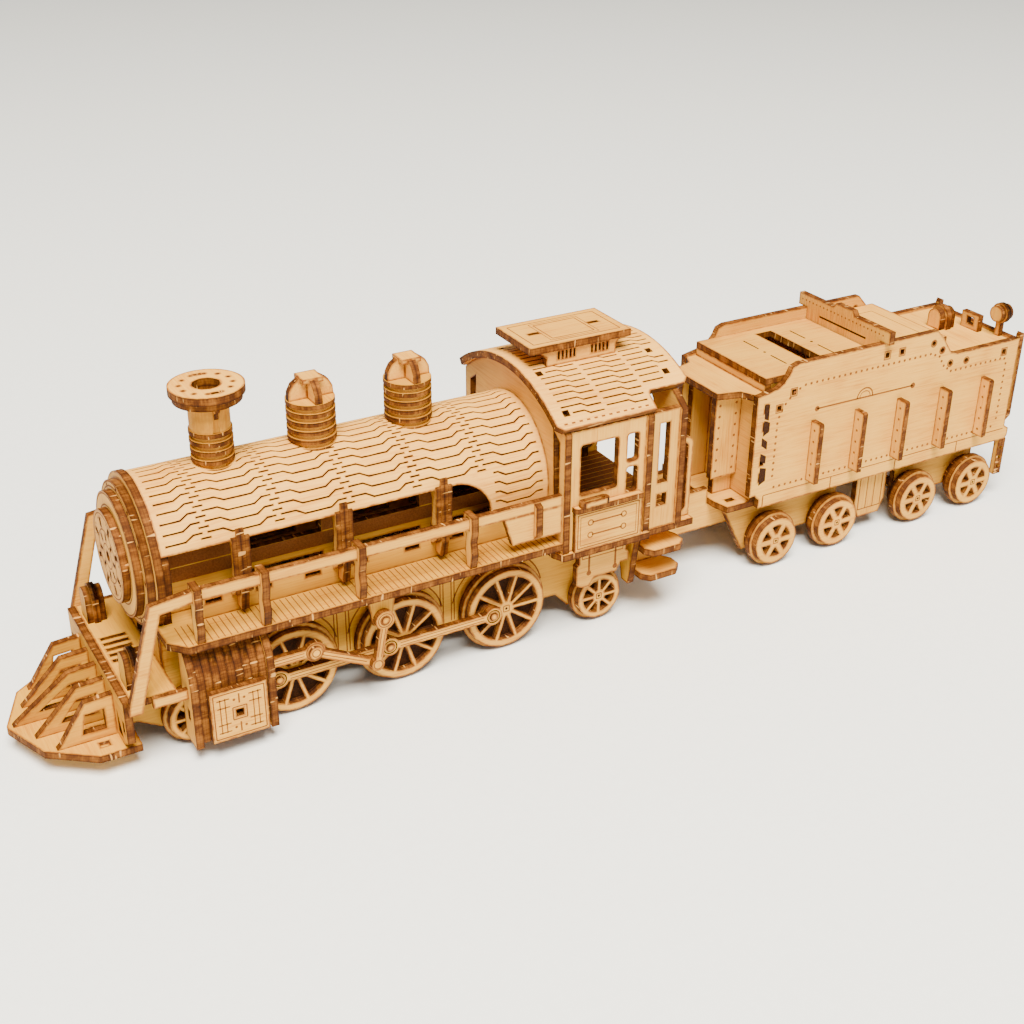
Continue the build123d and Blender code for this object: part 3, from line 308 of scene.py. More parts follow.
def line(points, width=LINE, closed=False):
    """One quad for each stretch of a line."""
    if closed:
        points = list(points) + [points[0]]
    return [ribbon((a, b), width) for a, b in zip(points, points[1:])]


def arc(x, y, radius, start, end, steps=16):
    turns = [math.radians(start + (end - start) * k / steps) for k in range(steps + 1)]
    return [(x + radius * math.cos(t), y + radius * math.sin(t)) for t in turns]


def ring(x, y, radius, width=LINE, steps=24):
    return line(arc(x, y, radius, 0, 360, steps), width)


def dot(x, y, radius=RIVET, steps=8):
    return [arc(x, y, radius, 0, 360, steps)[:-1]]


def quad(x_low, x_high, y_low, y_high):
    return [(x_low, y_low), (x_high, y_low), (x_high, y_high), (x_low, y_high)]


def rectangle(x_low, x_high, y_low, y_high, width=LINE):
    return line(quad(x_low, x_high, y_low, y_high), width, closed=True)


def rivets(points, spacing=2.6, radius=RIVET):
    """Evenly spaced dots along a line."""
    marks, gap = [], 0.0
    for a, b in zip(points, points[1:]):
        a, b = Vector(a), Vector(b)
        length = (b - a).length
        while gap <= length:
            place = a + (b - a) * (gap / length)
            marks += dot(place.x, place.y, radius)
            gap += spacing
        gap -= length
    return marks


# Lays marks on a face; most are engraving, and some are painted shade.
def burn(place, marks, colour=BROWN):
    return [([place(p) for p in mark], colour) for mark in marks]


def both_flanks(y, marks, colour=BROWN):
    return burn(flank_face(1, y), marks, colour) + burn(flank_face(-1, y), marks, colour)


def span(low, high, step):
    """Numbers from low up to high."""
    return [low + step * k for k in range(int((high - low) / step + 1e-6) + 1)]


DRIVERS = ("driver_wheels_front", "driver_wheels_middle", "driver_wheels_rear")
TENDER_WHEELS = tuple(f"tender_wheels_{number}" for number in (1, 2, 3, 4))
SMALL_WHEELS = ("pilot_wheels", "trailing_wheels") + TENDER_WHEELS
DRIVER_X = [axle_of(node)[0] for node in DRIVERS]
DRIVER_Z = axle_of(DRIVERS[0])[1]
WHEEL_Y = flank_of("pilot_wheels")  # outer face of every wheel
PLY = 2.4
CRANK_X = 6.2  # how far the crank pins are in front of their axles
CROSSHEAD, LINK_END, LEVER_TOP = (107.2, 24.8), (87.2, 14.8), (84.2, 30.4)  # (x, z) of bosses
STIFFENER_X = (-92.3, -112.9, -133.5, -155.1, -176.7)  # middles of the tender's fins
STIFFENER_PLY = 2.0
COVER_Y = flank_of("cylinder_covers") - 2 * LIFT  # set in to leave room for the marks
BOILER_Z = 58.0
FRAME_Y, PANEL_Y, LOCKER_Y, KEEL_Y = 17.9, 13.0, 11.4, 18.8  # faces within wider nodes
CREST_X = -122.4  # front face of the tender's raised wall


def deck_marks():
    planks = []
    for x in span(22.5, 149.0, 1.95):
        for side in (1, -1):
            planks += line([(x, side * 20.9), (x, side * 32.6)], 0.34)
    return burn(top_face(top_of("running_deck")), planks)


def frame_marks():
    marks = []
    # The arcs round the drivers are painted shadow of the wheels on the frame; the upright lines
    # are engraved.
    for x in DRIVER_X:
        marks += line(arc(x, DRIVER_Z, 17.4, 12, 168, 24), 0.5)
    for x in (93.0, 55.0):
        for shift in (-2.6, -1.5, 1.5, 2.6):
            marks += line([(x + shift, 13.0), (x + shift, 37.4)], 0.4)
    return both_flanks(FRAME_Y, marks)


def wheel_marks(node, hole_radius, hub):
    """Dark discs of painted shade behind the spokes, and a square and a dot on each hub."""
    x, z = axle_of(node)
    shade_disc = arc(x, z, hole_radius, 0, 360, 40)[:-1]
    square = rectangle(x - hub, x + hub, z - hub, z + hub, 0.35)
    # The disc on the face behind the spokes is painted shade.
    marks = both_flanks(WHEEL_Y - PLY, [shade_disc], BLACK)
    return marks + both_flanks(WHEEL_Y, square) + both_flanks(WHEEL_Y, dot(x, z, 0.5), BLACK)


def panel_marks():
    marks = rectangle(-9.0, 14.9, 37.7, 50.2, 0.4)
    marks += rectangle(-8.0, 13.9, 38.7, 49.2, 0.22)
    for z in (46.6, 42.0):
        marks += line([(-2.4, z), (9.4, z)], 0.55)
        for x in (-3.0, 10.0):
            marks += ring(x, z, 1.0, 0.4, 12)
    return both_flanks(flank_of("cab_panels"), marks)


def tender_side_marks():
    marks = line([(-93.4, 60.8), (-139.6, 60.4)], 0.62)
    marks += dot(-93.4, 60.8, 1.1) + dot(-139.6, 60.4, 1.2)
    marks += line(arc(-116.0, 60.6, 3.7, 0, 180), 0.55)
    marks += line(arc(-116.0, 60.6, 2.5, 0, 180), 0.3)
    top_row = [
        (-75.4, 38.0),
        (-75.4, 60.0),
        (-77.6, 65.0),
        (-82.0, 69.6),
        (-87.0, 71.6),
        (-147.0, 71.6),
        (-151.6, 69.6),
        (-154.0, 65.6),
        (-158.6, 62.4),
        (-186.6, 62.4),
        (-188.0, 60.4),
        (-188.0, 35.0),
    ]
    marks += rivets(top_row) + rivets([(-76.6, 33.2), (-186.6, 33.2)])
    for x, z in ((-124.6, 75.4), (-131.8, 75.4), (-81.7, 69.7), (-75.7, 64.6), (-186.0, 65.0)):
        marks += rectangle(x - 1.5, x + 1.5, z - 1.6, z + 1.6, 0.3)
    for x, z in ((-147.5, 75.6), (-152.4, 72.0), (-157.6, 65.8), (-166.0, 65.4)):
        marks += ring(x, z, 1.4, 0.35, 14)
    for x in (-72.0, -104.0, -136.0, -168.0):
        marks += line([(x, 26.2), (x, 30.6)], 0.5)
    marks += line([(-72.0, 30.8), (-193.0, 30.8)], 0.35)
    cuts = [
        [(-71.3, 67.2), (-69.3, 67.6), (-69.3, 61.8), (-71.3, 61.0)],
        [(-72.0, 60.0), (-69.3, 61.2), (-69.3, 55.0), (-72.0, 56.4)],
        [(-71.6, 52.6), (-69.0, 54.6), (-69.0, 51.4), (-71.6, 49.4)],
        [(-71.6, 46.8), (-69.0, 48.4), (-69.0, 45.4), (-71.6, 43.8)],
        [(-72.2, 41.8), (-69.3, 42.6), (-69.3, 35.4), (-72.2, 36.8)],
    ]
    y = flank_of("tender_sides")
    return both_flanks(y, marks) + both_flanks(y, cuts, BLACK)


def tender_deck_marks():
    dashes = []
    for x in (-86.0, -108.0):
        for side in (1, -1):
            dashes += line([(x, side * 3.6), (x, side * 12.6)], 0.62)
        dashes += dot(x, 0.0, 0.6)
    rear = line([(-140.0, -9.0), (-140.0, 9.0)], 0.5)
    rear += rectangle(-150.0, -130.0, -14.0, 14.0, 0.3)
    place = top_face(top_of("tender_decks"))
    return burn(place, dashes, BLACK) + burn(place, rear)


def crest_marks():
    marks = rivets([(-23.4, 83.0), (23.4, 83.0)], 2.05, 0.36)
    slot = line([(-13.0, 79.0), (13.0, 79.0)], 0.7)
    place = front_face(CREST_X)
    return burn(place, marks) + burn(place, slot, BLACK)


def bracket_marks():
    lockers = []
    for x in (-58.4, -65.6):
        lockers += rivets([(x, 39.0), (x, 66.6)], 4.3)
    keel = rectangle(-135.0, -123.8, 9.6, 24.6, 0.45)
    for x in (-131.2, -127.6):
        keel += line([(x, 9.6), (x, 24.6)], 0.4)
    return both_flanks(LOCKER_Y, lockers) + both_flanks(KEEL_Y, keel)


def stiffener_marks():
    rows = []
    for y in (25.3, -25.3):
        rows += rivets([(y, 35.4), (y, 54.0)], 4.5, 0.5)
    marks = []
    for x in STIFFENER_X:
        marks += burn(front_face(x + STIFFENER_PLY / 2), rows)
    return marks


def guard_marks():
    marks = []
    for x in (-5.0, 5.6):
        marks += line([(x, 33.0), (x, 23.4)], 0.75) + dot(x, 31.6, 1.25) + dot(x, 22.6, 1.0)
    marks += rectangle(-8.0, 8.4, 28.6, 33.2, 0.3)
    return both_flanks(flank_of("axle_guards"), marks)


def cover_marks():
    marks = rectangle(126.6, 142.6, 7.8, 23.4, 0.4)
    for x in (128.6, 130.2, 139.0, 140.6):
        marks += line([(x, 9.4), (x, 21.8)], 0.34)
    for z in (9.8, 12.6, 18.6, 21.4):
        for x in (127.6, 137.6):
            marks += line([(x, z), (x + 4.0, z)], 0.42)
    marks += rectangle(132.4, 136.8, 13.4, 17.8, 0.4)
    for z in (8.8, 19.0):
        marks += line([(134.6, z), (134.6, z + 3.4)], 0.5)
    for x in (133.0, 136.2):
        marks += dot(x, 10.6, 0.45) + dot(x, 20.6, 0.45)
    return both_flanks(COVER_Y, marks)


def vent_marks():
    marks = rectangle(-15.6, 17.6, -8.8, 8.8, 0.4) + rectangle(-7.0, 9.0, -6.4, 6.4, 0.4)
    marks += rectangle(-8.2, 10.2, -7.6, 7.6, 0.25)
    return burn(top_face(top_of("vent_top")), marks)


def rod_marks(y, side, start, end, bosses, reach):
    """Two thin lines along a rod, which stop at a reach from its ends, and rings on its bosses."""
    a, b = Vector(start), Vector(end)
    run = (b - a).normalized()
    out = Vector((-run.y, run.x)) * 0.55
    marks = []
    for shift in (out, -out):
        marks += line([tuple(a + run * reach + shift), tuple(b - run * reach + shift)], 0.28)
    for x, z, radius in bosses:
        marks += ring(x, z, radius, 0.38, 20)
    return burn(flank_face(side, y), marks)


def coupling_marks(side):
    y = flank_of("coupling_rod_left")
    pins = [(x + CRANK_X, DRIVER_Z) for x in DRIVER_X]
    bosses = [(x, z, 2.3) for x, z in pins]
    marks = []
    for rear, front in zip(pins[1:], pins):
        marks += rod_marks(y, side, rear, front, bosses, 3.6)
    return marks


def piston_marks(side):
    y = flank_of("piston_rod_left")
    marks = rod_marks(y - 1.0, side, CROSSHEAD, (137.0, CROSSHEAD[1]), [], 3.6)
    marks += rod_marks(y - 1.0, side, LINK_END, CROSSHEAD, [(*CROSSHEAD, 2.9)], 3.0)
    return marks + burn(flank_face(side, y), ring(*CROSSHEAD, 1.3, 0.4, 16))


def lever_marks(side):
    bosses = [(*LEVER_TOP, 2.4), (*LEVER_TOP, 1.6), (*LINK_END, 1.5)]
    return rod_marks(flank_of("swing_lever_left"), side, LEVER_TOP, LINK_END, bosses, 2.8)


def boiler_panel_bands_and_shade():
    """Brown and black bands on the inner panel that shows below the bent skin; the black band just
    under the skin's edge is painted shade.
    """
    low = [quad(22.8, 146.6, 51.2, 55.8)]
    for start, end in ((22.8, 27.8), (54.2, 61.8), (88.2, 95.8), (122.2, 146.6)):
        low.append(quad(start, end, 56.2, 60.3))
    # Painted shade under the overhang of the bent skin.
    high = [quad(22.8, 146.6, 60.7, 65.8)]
    return both_flanks(PANEL_Y, low) + both_flanks(PANEL_Y, high, BLACK)


def cab_floor_painted_shade():
    """Brown strips laid as planks on the cab's floor, painted shade inside the cab."""
    planks = [quad(-32.6, 14.6, y, y + 2.9) for y in span(-28.8, 25.2, 3.2)]
    return burn(top_face(top_of("cab_floor")), planks)


def smokebox_marks(node, radii, spots=0, spots_at=0.0):
    """Rings round the boiler's axis, and a circle of dots between them."""
    marks = []
    for radius in radii:
        marks += ring(0.0, BOILER_Z, radius, 0.45, 48)
    for k in range(spots):
        turn = math.radians(360 * (k + 0.5) / spots)
        marks += dot(spots_at * math.cos(turn), BOILER_Z + spots_at * math.sin(turn), 0.4)
    return burn(front_face(front_of(node)), marks)


MARKS = {
    "running_deck": deck_marks(),
    "cab_floor": cab_floor_painted_shade(),
    "boiler_panels": boiler_panel_bands_and_shade(),
    "frame_plates": frame_marks(),
    "cab_panels": panel_marks(),
    "tender_sides": tender_side_marks(),
    "tender_decks": tender_deck_marks(),
    "tender_walls": crest_marks(),
    "tender_brackets": bracket_marks(),
    "tender_stiffeners": stiffener_marks(),
    "axle_guards": guard_marks(),
    "cylinder_covers": cover_marks(),
    "vent_top": vent_marks(),
    "smokebox_plate": smokebox_marks("smokebox_plate", (20.6, 22.0)),
    "smokebox_ring": smokebox_marks("smokebox_ring", (15.4, 18.9)),
    "smokebox_door": smokebox_marks("smokebox_door", (4.0, 8.4, 13.4), 16, 12.0),
}
for node in DRIVERS:
    MARKS[node] = wheel_marks(node, 11.85, 1.1)
for node in SMALL_WHEELS:
    MARKS[node] = wheel_marks(node, 6.25, 1.0)
for hand, side in (("left", 1), ("right", -1)):
    MARKS[f"coupling_rod_{hand}"] = coupling_marks(side)
    MARKS[f"piston_rod_{hand}"] = piston_marks(side)
    MARKS[f"swing_lever_{hand}"] = lever_marks(side)

# ======== flat sheets ========
RINGS = (0.30, 0.80)  # distances from an outline where its scorching changes
WELD = 0.002  # corners closer than this are one
SHARP = math.radians(28)
FLAT = 0.9995  # least part of a normal along an axis, for a face that looks along it
STEEP = 0.5  # most of a normal's z, for the edge of a lying sheet
STACKED = {  # sheets whose thickness runs along a given axis
    "cylinder_bodies": X,
    "cylinder_ends": X,
    "rail_posts": X,
    "stanchions": X,
    "domes": Z,
    "smokestack": Z,
    "smokestack_neck": Z,
    "smokestack_rim": Z,
    "smokebox_plate": X,
    "tender_fittings": X,
}
CROSSED = ("dome_caps",)  # sheets slotted across each other
GOLDEN_AND_SHADED = (  # sheets with the deepest honey tint: a more golden wood, and on the low sheets beneath the boiler also painted shade
    "frame_plates",
    "frame_spacers",
    "pilot_base",
    "pilot_beam",
    "pilot_deck",
    "pilot_ribs",
    "running_deck",
    "smokestack",
    "smokestack_neck",
    "domes",
    "boiler_panels",
)
HONEY_GOLDEN_AND_SHADED = 1.0
HONEY_OTHERS = 0.5
RING_PLY = 1.44
THIN = {"domes": RING_PLY, "smokestack": RING_PLY}
RECESSED = {"domes": 7.1, "smokestack": 6.0}  # rings up to this radius are set back
BORE = 0.75  # part of that radius that the hole in the middle stays within
RING_BURN = 0.35  # scorching of the rings and the neck
NECK_RADIUS = 6.2


def neighbours(faces):
    """Parts of a list of faces that hang together."""
    left = dict.fromkeys(faces)
    parts = []
    while left:
        group = [left.popitem()[0]]
        for face in group:
            for edge in face.edges:
                for other in edge.link_faces:
                    if other in left:
                        del left[other]
                        group.append(other)
        parts.append(group)
    return parts


def sheet_axis(group, axis):
    """The axis across a sheet: as given, or the one that most of the surface faces."""
    if axis is not None:
        return axis
    area = [0.0, 0.0, 0.0]
    for face in group:
        for k in range(3):
            area[k] += abs(face.normal[k]) ** 4 * face.calc_area()
    return area.index(max(area))


def scorching(distance):
    """How browned a face is at a distance from the cut, from 1 to 0."""
    full, none = RINGS
    return max(0.0, min(1.0, (none - distance) / (none - full * 0.5)))


def grown(polygon, distance):
    """The polygon with every corner moved outwards, for a counter-clockwise outline."""
    moved = []
    count = len(polygon)
    for index, point in enumerate(polygon):
        before = Vector(polygon[index - 1])
        after = Vector(polygon[(index + 1) % count])
        here = Vector(point)
        first = (here - before).normalized()
        second = (after - here).normalized()
        out = Vector((first.y + second.y, -first.x - second.x))
        stretch = max(0.5, out.length / 2)
        moved.append(tuple(here + out.normalized() * (distance / stretch)))
    return moved


def area_of(polygon):
    return sum(
        a[0] * b[1] - b[0] * a[1] for a, b in zip(polygon, polygon[1:] + polygon[:1])
    ) / 2


def distances(points, starts, ends):
    """The least distance from each point to any of the stretches."""
    p = np.array(points)[:, None, :]
    a, b = np.array(starts)[None, :, :], np.array(ends)[None, :, :]
    run = b - a
    along = ((p - a) * run).sum(2) / np.maximum((run * run).sum(2), 1e-12)
    nearest = a + run * np.clip(along, 0.0, 1.0)[:, :, None]
    return np.sqrt(((p - nearest) ** 2).sum(2)).min(1)


def outlines(region):
    """Closed chains of vertices round a flat region, each with the region on its left."""
    inside = set(region)
    ahead = {}
    for face in region:
        for loop in face.loops:
            if not any(f in inside and f is not face for f in loop.edge.link_faces):
                ahead.setdefault(loop.vert, []).append(loop.link_loop_next.vert)
    chains = []
    while ahead:
        start = next(iter(ahead))
        chain, here = [], start
        while here in ahead:
            chain.append(here)
            following = ahead[here].pop()
            if not ahead[here]:
                del ahead[here]
            here = following
            if here is start:
                break
        chains.append(chain)
    return [chain for chain in chains if len(chain) > 2]


def repave(bm, region, across, layers):
    """Cuts a flat region anew, with rings beside its outline that carry the scorching."""
    facing = region[0].normal[across] > 0
    u, v = (across + 1) % 3, (across + 2) % 3
    if not facing:
        u, v = v, u
    level = region[0].verts[0].co[across]
    tone_layer, ply_layer, burn_layer = layers
    sample = region[0].verts[0]
    tone, ply, material = sample[tone_layer], sample[ply_layer], region[0].material_index
    chains = outlines(region)
    owners, points, faces, signs, edges = [], [], [], [], []
    starts, ends = [], []
    for chain in chains:
        polygon = [(vert.co[u] / MM, vert.co[v] / MM) for vert in chain]
        area = area_of(polygon)
        first = len(points)
        loop = list(range(first, first + len(chain)))
        owners += chain
        points += polygon
        faces.append(loop if area > 0 else loop[::-1])
        signs.append(1 if area > 0 else -1)
        starts += polygon
        ends += polygon[1:] + polygon[:1]
    for chain_loop, sign in zip(list(faces), signs):
        polygon = [points[i] for i in chain_loop]
        for gap in RINGS:
            first = len(points)
            points += grown(polygon, -gap * sign)
            loop = list(range(first, len(points)))
            edges += list(zip(loop, loop[1:] + loop[:1]))
    laid, _, triangles, origin_verts, _, origin_faces = delaunay_2d_cdt(
        [Vector(p) for p in points], edges, faces, 0, 1e-5
    )
    burnt = distances([(p.x, p.y) for p in laid], starts, ends)
    made = {}

    def vert_at(index):
        if index not in made:
            owner = next((o for o in origin_verts[index] if o < len(owners)), None)
            if owner is not None:
                made[index] = owners[owner]
            else:
                place = [0.0, 0.0, 0.0]
                place[across] = level
                place[u], place[v] = laid[index].x * MM, laid[index].y * MM
                vert = bm.verts.new(place)
                vert[tone_layer], vert[ply_layer] = tone, ply
                vert[burn_layer] = scorching(burnt[index])
                made[index] = vert
        return made[index]

    kept = [
        t for t, o in zip(triangles, origin_faces) if sum(signs[k] for k in o) == 1
    ]
    bmesh.ops.delete(bm, geom=region, context="FACES_ONLY")
    for triangle in kept:
        corners = [vert_at(i) for i in triangle]
        if len(set(corners)) < 3 or bm.faces.get(corners):
            continue
        face = bm.faces.new(corners)
        face.material_index = material
        face.smooth = True


def off_axis(point, centre):
    """The distance of a point from an upright axis through a centre."""
    return math.hypot(point.x - centre.x, point.y - centre.y)


def recess(group, limit):
    """Browns the edges of the rings that are set back, instead of charring them."""
    verts = {vert for face in group for vert in face.verts}
    centre = Vector(
        [(min(v.co[k] for v in verts) + max(v.co[k] for v in verts)) / 2 for k in range(3)]
    )
    for face in group:
        if abs(face.normal.z) > STEEP:
            continue
        if BORE * limit * MM < off_axis(face.calc_center_median(), centre) < limit * MM:
            face.material_index = X


def pale_neck(bm, burn_layer):
    """Leaves the outside of the neck pale, and chars only the edges of its brackets."""
    centre = sum((v.co for v in bm.verts), Vector()) / len(bm.verts)
    for face in bm.faces:
        out = off_axis(face.calc_center_median(), centre)
        bracket = out > (NECK_RADIUS + 0.1) * MM
        if abs(face.normal.z) < STEEP and not bracket or abs(face.normal.x) > FLAT:
            face.material_index = Z
    for vert in bm.verts:
        vert[burn_layer] = RING_BURN


def add_marks(bm, marks):
    """Thin dark faces just off the surface, for what the laser engraved, and for painted shade."""
    for points, colour in marks:
        verts = [bm.verts.new([c * MM for c in point]) for point in points]
        face = bm.faces.new(verts)
        face.material_index = colour


def build(node, bm):
    """Turns the faces into the piece that stands in for a CAD node."""
    name = node + "_ply"
    mesh = bpy.data.meshes.new(name)
    bm.to_mesh(mesh)
    bm.free()
    mesh.set_sharp_from_angle(angle=SHARP)
    for material in MATERIALS:
        mesh.materials.append(material)
    piece = bpy.data.objects.new(name, mesh)
    bpy.context.scene.collection.objects.link(piece)
    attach(piece, body_of_node[node])
    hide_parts(node)


def new_layers(bm):
    """Values on the corners that the materials read."""
    return [bm.verts.layers.float.new(name) for name in ("tone", "ply", "burn")]


def dress(node):
    """A detailed stand-in for a CAD node: scorched sheets with burnt edges."""
    bm = bmesh.new()
    bm.from_mesh(frame["nodes"][node].data)
    bmesh.ops.remove_doubles(bm, verts=bm.verts, dist=WELD * MM)
    bm.normal_update()
    luck = random.Random(node)
    layers = tone_layer, ply_layer, burn_layer = new_layers(bm)
    honey_layer = bm.verts.layers.float.new("honey")
    bm.faces.ensure_lookup_table()
    groups = [sorted(group, key=lambda f: f.index) for group in neighbours(bm.faces)]
    groups.sort(key=lambda group: group[0].index)
    regions = []
    for group in groups:
        across = sheet_axis(group, STACKED.get(node))
        verts = {v for face in group for v in face.verts}
        low = [min(v.co[k] for v in verts) for k in range(3)]
        high = [max(v.co[k] for v in verts) for k in range(3)]
        thickness = max(high[across] - low[across], 1e-6)
        plies = max(1, round(thickness / (THIN.get(node, PLY) * MM)))
        tone = luck.random()
        for vert in verts:
            vert[tone_layer] = tone
            vert[ply_layer] = (vert.co[across] - low[across]) / thickness * plies
            vert[burn_layer] = 1.0
        along = [high[k] - low[k] if k != across else 0.0 for k in range(3)]
        run = along.index(max(along))
        flat = {}
        for face in group:
            face.material_index = BURNT + across
            face.smooth = True
            for k in (X, Y, Z) if node in CROSSED else (across,):
                if abs(face.normal[k]) > FLAT:
                    face.material_index = run
                    level = round(face.calc_center_median()[k] / MM, 2)
                    key = (k, face.normal[k] > 0, level)
                    flat.setdefault(key, []).append(face)
        if node in RECESSED:
            recess(group, RECESSED[node])
        for key, faces in flat.items():
            regions += [(key[0], part) for part in neighbours(faces)]
    if node == "smokestack_neck":
        pale_neck(bm, burn_layer)
    for across, region in regions:
        repave(bm, region, across, layers)
    if node == "cylinder_covers":
        for vert in bm.verts:
            vert.co.y = max(-COVER_Y * MM, min(COVER_Y * MM, vert.co.y))
    for vert in bm.verts:
        # The deepest honey tint is partly painted shade, on the low sheets beneath the boiler.
        vert[honey_layer] = HONEY_GOLDEN_AND_SHADED if node in GOLDEN_AND_SHADED else HONEY_OTHERS
        if node in RECESSED:
            vert[burn_layer] *= RING_BURN
    add_marks(bm, MARKS.get(node, ()))
    build(node, bm)


# ======== bent sheets ========
SLIT = 0.42  # width of a slit
SLIT_RING = 0.30  # distance from a slit to the corners laid round it
FILL_X = 3.1  # spacing of the points laid between the slits
BENT_TONE = 0.55
BENT_PLY = (0.08, 0.92)  # place of its two faces in the ply, clear of the dark glue lines


def anticlockwise(polygon):
    return polygon if area_of(polygon) > 0 else polygon[::-1]


def allowed_runs(points, allowed):
    """The stretches of a line that lie where a cut is allowed."""
    samples = []
    for a, b in zip(points, points[1:]):
        a, b = Vector(a), Vector(b)
        count = max(1, int((b - a).length / 0.5))
        samples += [(tuple(a + (b - a) * k / count), k == 0) for k in range(count)]
    samples.append((tuple(points[-1]), True))
    run = []
    for place, corner in samples + [(None, False)]:
        if place is not None and allowed(*place):
            run.append((place, corner))
            continue
        if len(run) > 3:
            yield [run[0][0]] + [p for p, c in run[1:-1] if c] + [run[-1][0]]
        run = []


def slits(points, allowed):
    return [anticlockwise(ribbon(run, SLIT)) for run in allowed_runs(points, allowed)]


def divided(polygon, step):
    """The same outline with corners added, so that no stretch is longer than the step."""
    finer = []
    for a, b in zip(polygon, polygon[1:] + polygon[:1]):
        a, b = Vector(a), Vector(b)
        count = max(1, math.ceil((b - a).length / step))
        finer += [tuple(a + (b - a) * k / count) for k in range(count)]
    return finer


def bent_sheet(node, outline, cuts, holes, place, step, marks=()):
    """A thin sheet bent over a former. Holes go through, and slits are grooves with a black bottom
    of painted shade.
    """
    points, edges, faces = [], [], []

    def add_loop(polygon, as_face):
        start = len(points)
        points.extend(Vector(p) for p in polygon)
        loop = list(range(start, len(points)))
        if as_face:
            faces.append(loop)
        else:
            edges.extend(zip(loop, loop[1:] + loop[:1]))

    outline = divided(outline, step)
    add_loop(outline, True)
    for cut in list(cuts) + list(holes):
        add_loop(cut, True)
        add_loop(grown(cut, SLIT_RING), False)
    for gap in RINGS:
        add_loop(grown(outline, -gap), False)
    first_hole = 1 + len(cuts)
    xs, ys = [p[0] for p in outline], [p[1] for p in outline]
    for i, x in enumerate(span(min(xs) + 1.0, max(xs) - 1.0, FILL_X)):
        for y in span(min(ys) + 0.8, max(ys) - 0.8, step):
            points.append(Vector((x, y + (i % 2) * step / 2)))
    verts, _, triangles, _, _, origins = delaunay_2d_cdt(points, edges, faces, 0, 1e-5)
    kept = [t for t, o in zip(triangles, origins) if 0 in o and len(o) == 1]
    in_slits = [
        t for t, o in zip(triangles, origins) if 0 in o and len(o) > 1 and max(o) < first_hole
    ]
    uses = {}
    for triangle in kept:
        for a, b in zip(triangle, triangle[1:] + triangle[:1]):
            uses.setdefault(frozenset((a, b)), []).append((a, b))
    border = [pairs[0] for pairs in uses.values() if len(pairs) == 1]
    rim = {v for pair in border for v in pair}
    from_edge = distances([(p.x, p.y) for p in verts], outline, outline[1:] + outline[:1])
    bm = bmesh.new()
    tone_layer, ply_layer, burn_layer = new_layers(bm)
    skins = []
    for depth in (0, 1):
        skin = {}
        for index in sorted({v for t in kept for v in t}):
            vert = bm.verts.new([c * MM for c in place(verts[index].x, verts[index].y, depth)])
            vert[tone_layer] = BENT_TONE
            vert[ply_layer] = BENT_PLY[depth]
            vert[burn_layer] = 1.0 if index in rim else scorching(from_edge[index])
            skin[index] = vert
        skins.append(skin)
    for depth, skin in enumerate(skins):
        for triangle in kept:
            corners = [skin[i] for i in triangle]
            face = bm.faces.new(corners if depth == 0 else corners[::-1])
            face.material_index = X
            face.smooth = True
    for a, b in border:
        face = bm.faces.new((skins[0][b], skins[0][a], skins[1][a], skins[1][b]))
        face.material_index = BURNT + X
    bmesh.ops.recalc_face_normals(bm, faces=bm.faces)
    # Black faces halfway down each slit: painted shade of the dark inside behind the skin.
    shade_bottoms = {}
    for triangle in in_slits:
        corners = []
        for index in triangle:
            if index not in shade_bottoms:
                spot = place(verts[index].x, verts[index].y, 0.5)
                shade_bottoms[index] = bm.verts.new([c * MM for c in spot])
            corners.append(shade_bottoms[index])
        face = bm.faces.new(corners)
        face.material_index = BLACK
    add_marks(bm, marks)
    build(node, bm)


def boiler_skin():
    """The slit skin; s is the length along the bend, from the top."""
    radius, thickness = 24.0, 1.0
    rear, step_x, front = 20.1, 54.0, 149.4
    short, deep = 29.63, 43.02  # s of the lower edge, in front of the notch and behind it
    notch_x, notch_z, notch_radius = 54.0, 53.5, 12.4
    stack_x, stack_hole, stack_clear = 124.0, 5.0, 6.6
    notch_reach = 14.0  # how far behind the step the slits keep above the notch
    rear_margin, front_margin, side_margin = 1.8, 2.0, 1.3
    column_x, column_gap, columns_behind = 77.05, 22.8, 2
    row_s, row_gap, rows_before = 13.9, 3.25, 17

    def place(x, s, depth):
        turn = s / radius
        r = radius - depth * thickness
        return (x, r * math.sin(turn), BOILER_Z + r * math.cos(turn))

    def notch(side):
        """The round cut behind the step, from the step back to the deep part."""
        found = []
        for turn in range(180, 60, -6):
            x = notch_x + notch_radius * math.cos(math.radians(turn))
            z = notch_z + notch_radius * math.sin(math.radians(turn))
            s = radius * math.acos(max(-1.0, min(1.0, (z - BOILER_Z) / radius)))
            if short < s < deep and x < step_x:
                found.append((x, side * s))
        return found

    left = notch(1)
    right = notch(-1)
    outline = [(front, -short), (front, short)]
    outline += [(left[-1][0] + 0.4, short)] + left[::-1]
    outline += [(left[0][0], deep), (rear, deep), (rear, -deep), (right[0][0], -deep)]
    outline += right + [(right[-1][0] + 0.4, -short)]
    outline = anticlockwise(outline)

    def allowed(x, s):
        edge = short if x > step_x - notch_reach else deep
        if not rear + rear_margin < x < front - front_margin:
            return False
        return abs(s) <= edge - side_margin and math.hypot(x - stack_x, s) > stack_clear

    cuts = []
    for x in span(column_x - columns_behind * column_gap, 150.0, column_gap):
        for row in span(row_s - rows_before * row_gap, 43.0, row_gap):
            wave = [
                (x - 9.6, row - 1.5),
                (x - 6.85, row - 1.5),
                (x - 4.25, row),
                (x + 4.25, row),
                (x + 6.85, row - 1.5),
                (x + 11.6, row - 1.5),
            ]
            tick = [(x + 10.9, row + 0.12), (x + 13.9, row + 0.12)]
            cuts += slits(wave, allowed) + slits(tick, allowed)
    hole = arc(stack_x, 0.0, stack_hole, 0, 360, 24)[:-1]
    bent_sheet("boiler_skin", outline, cuts, [hole], place, 1.6)


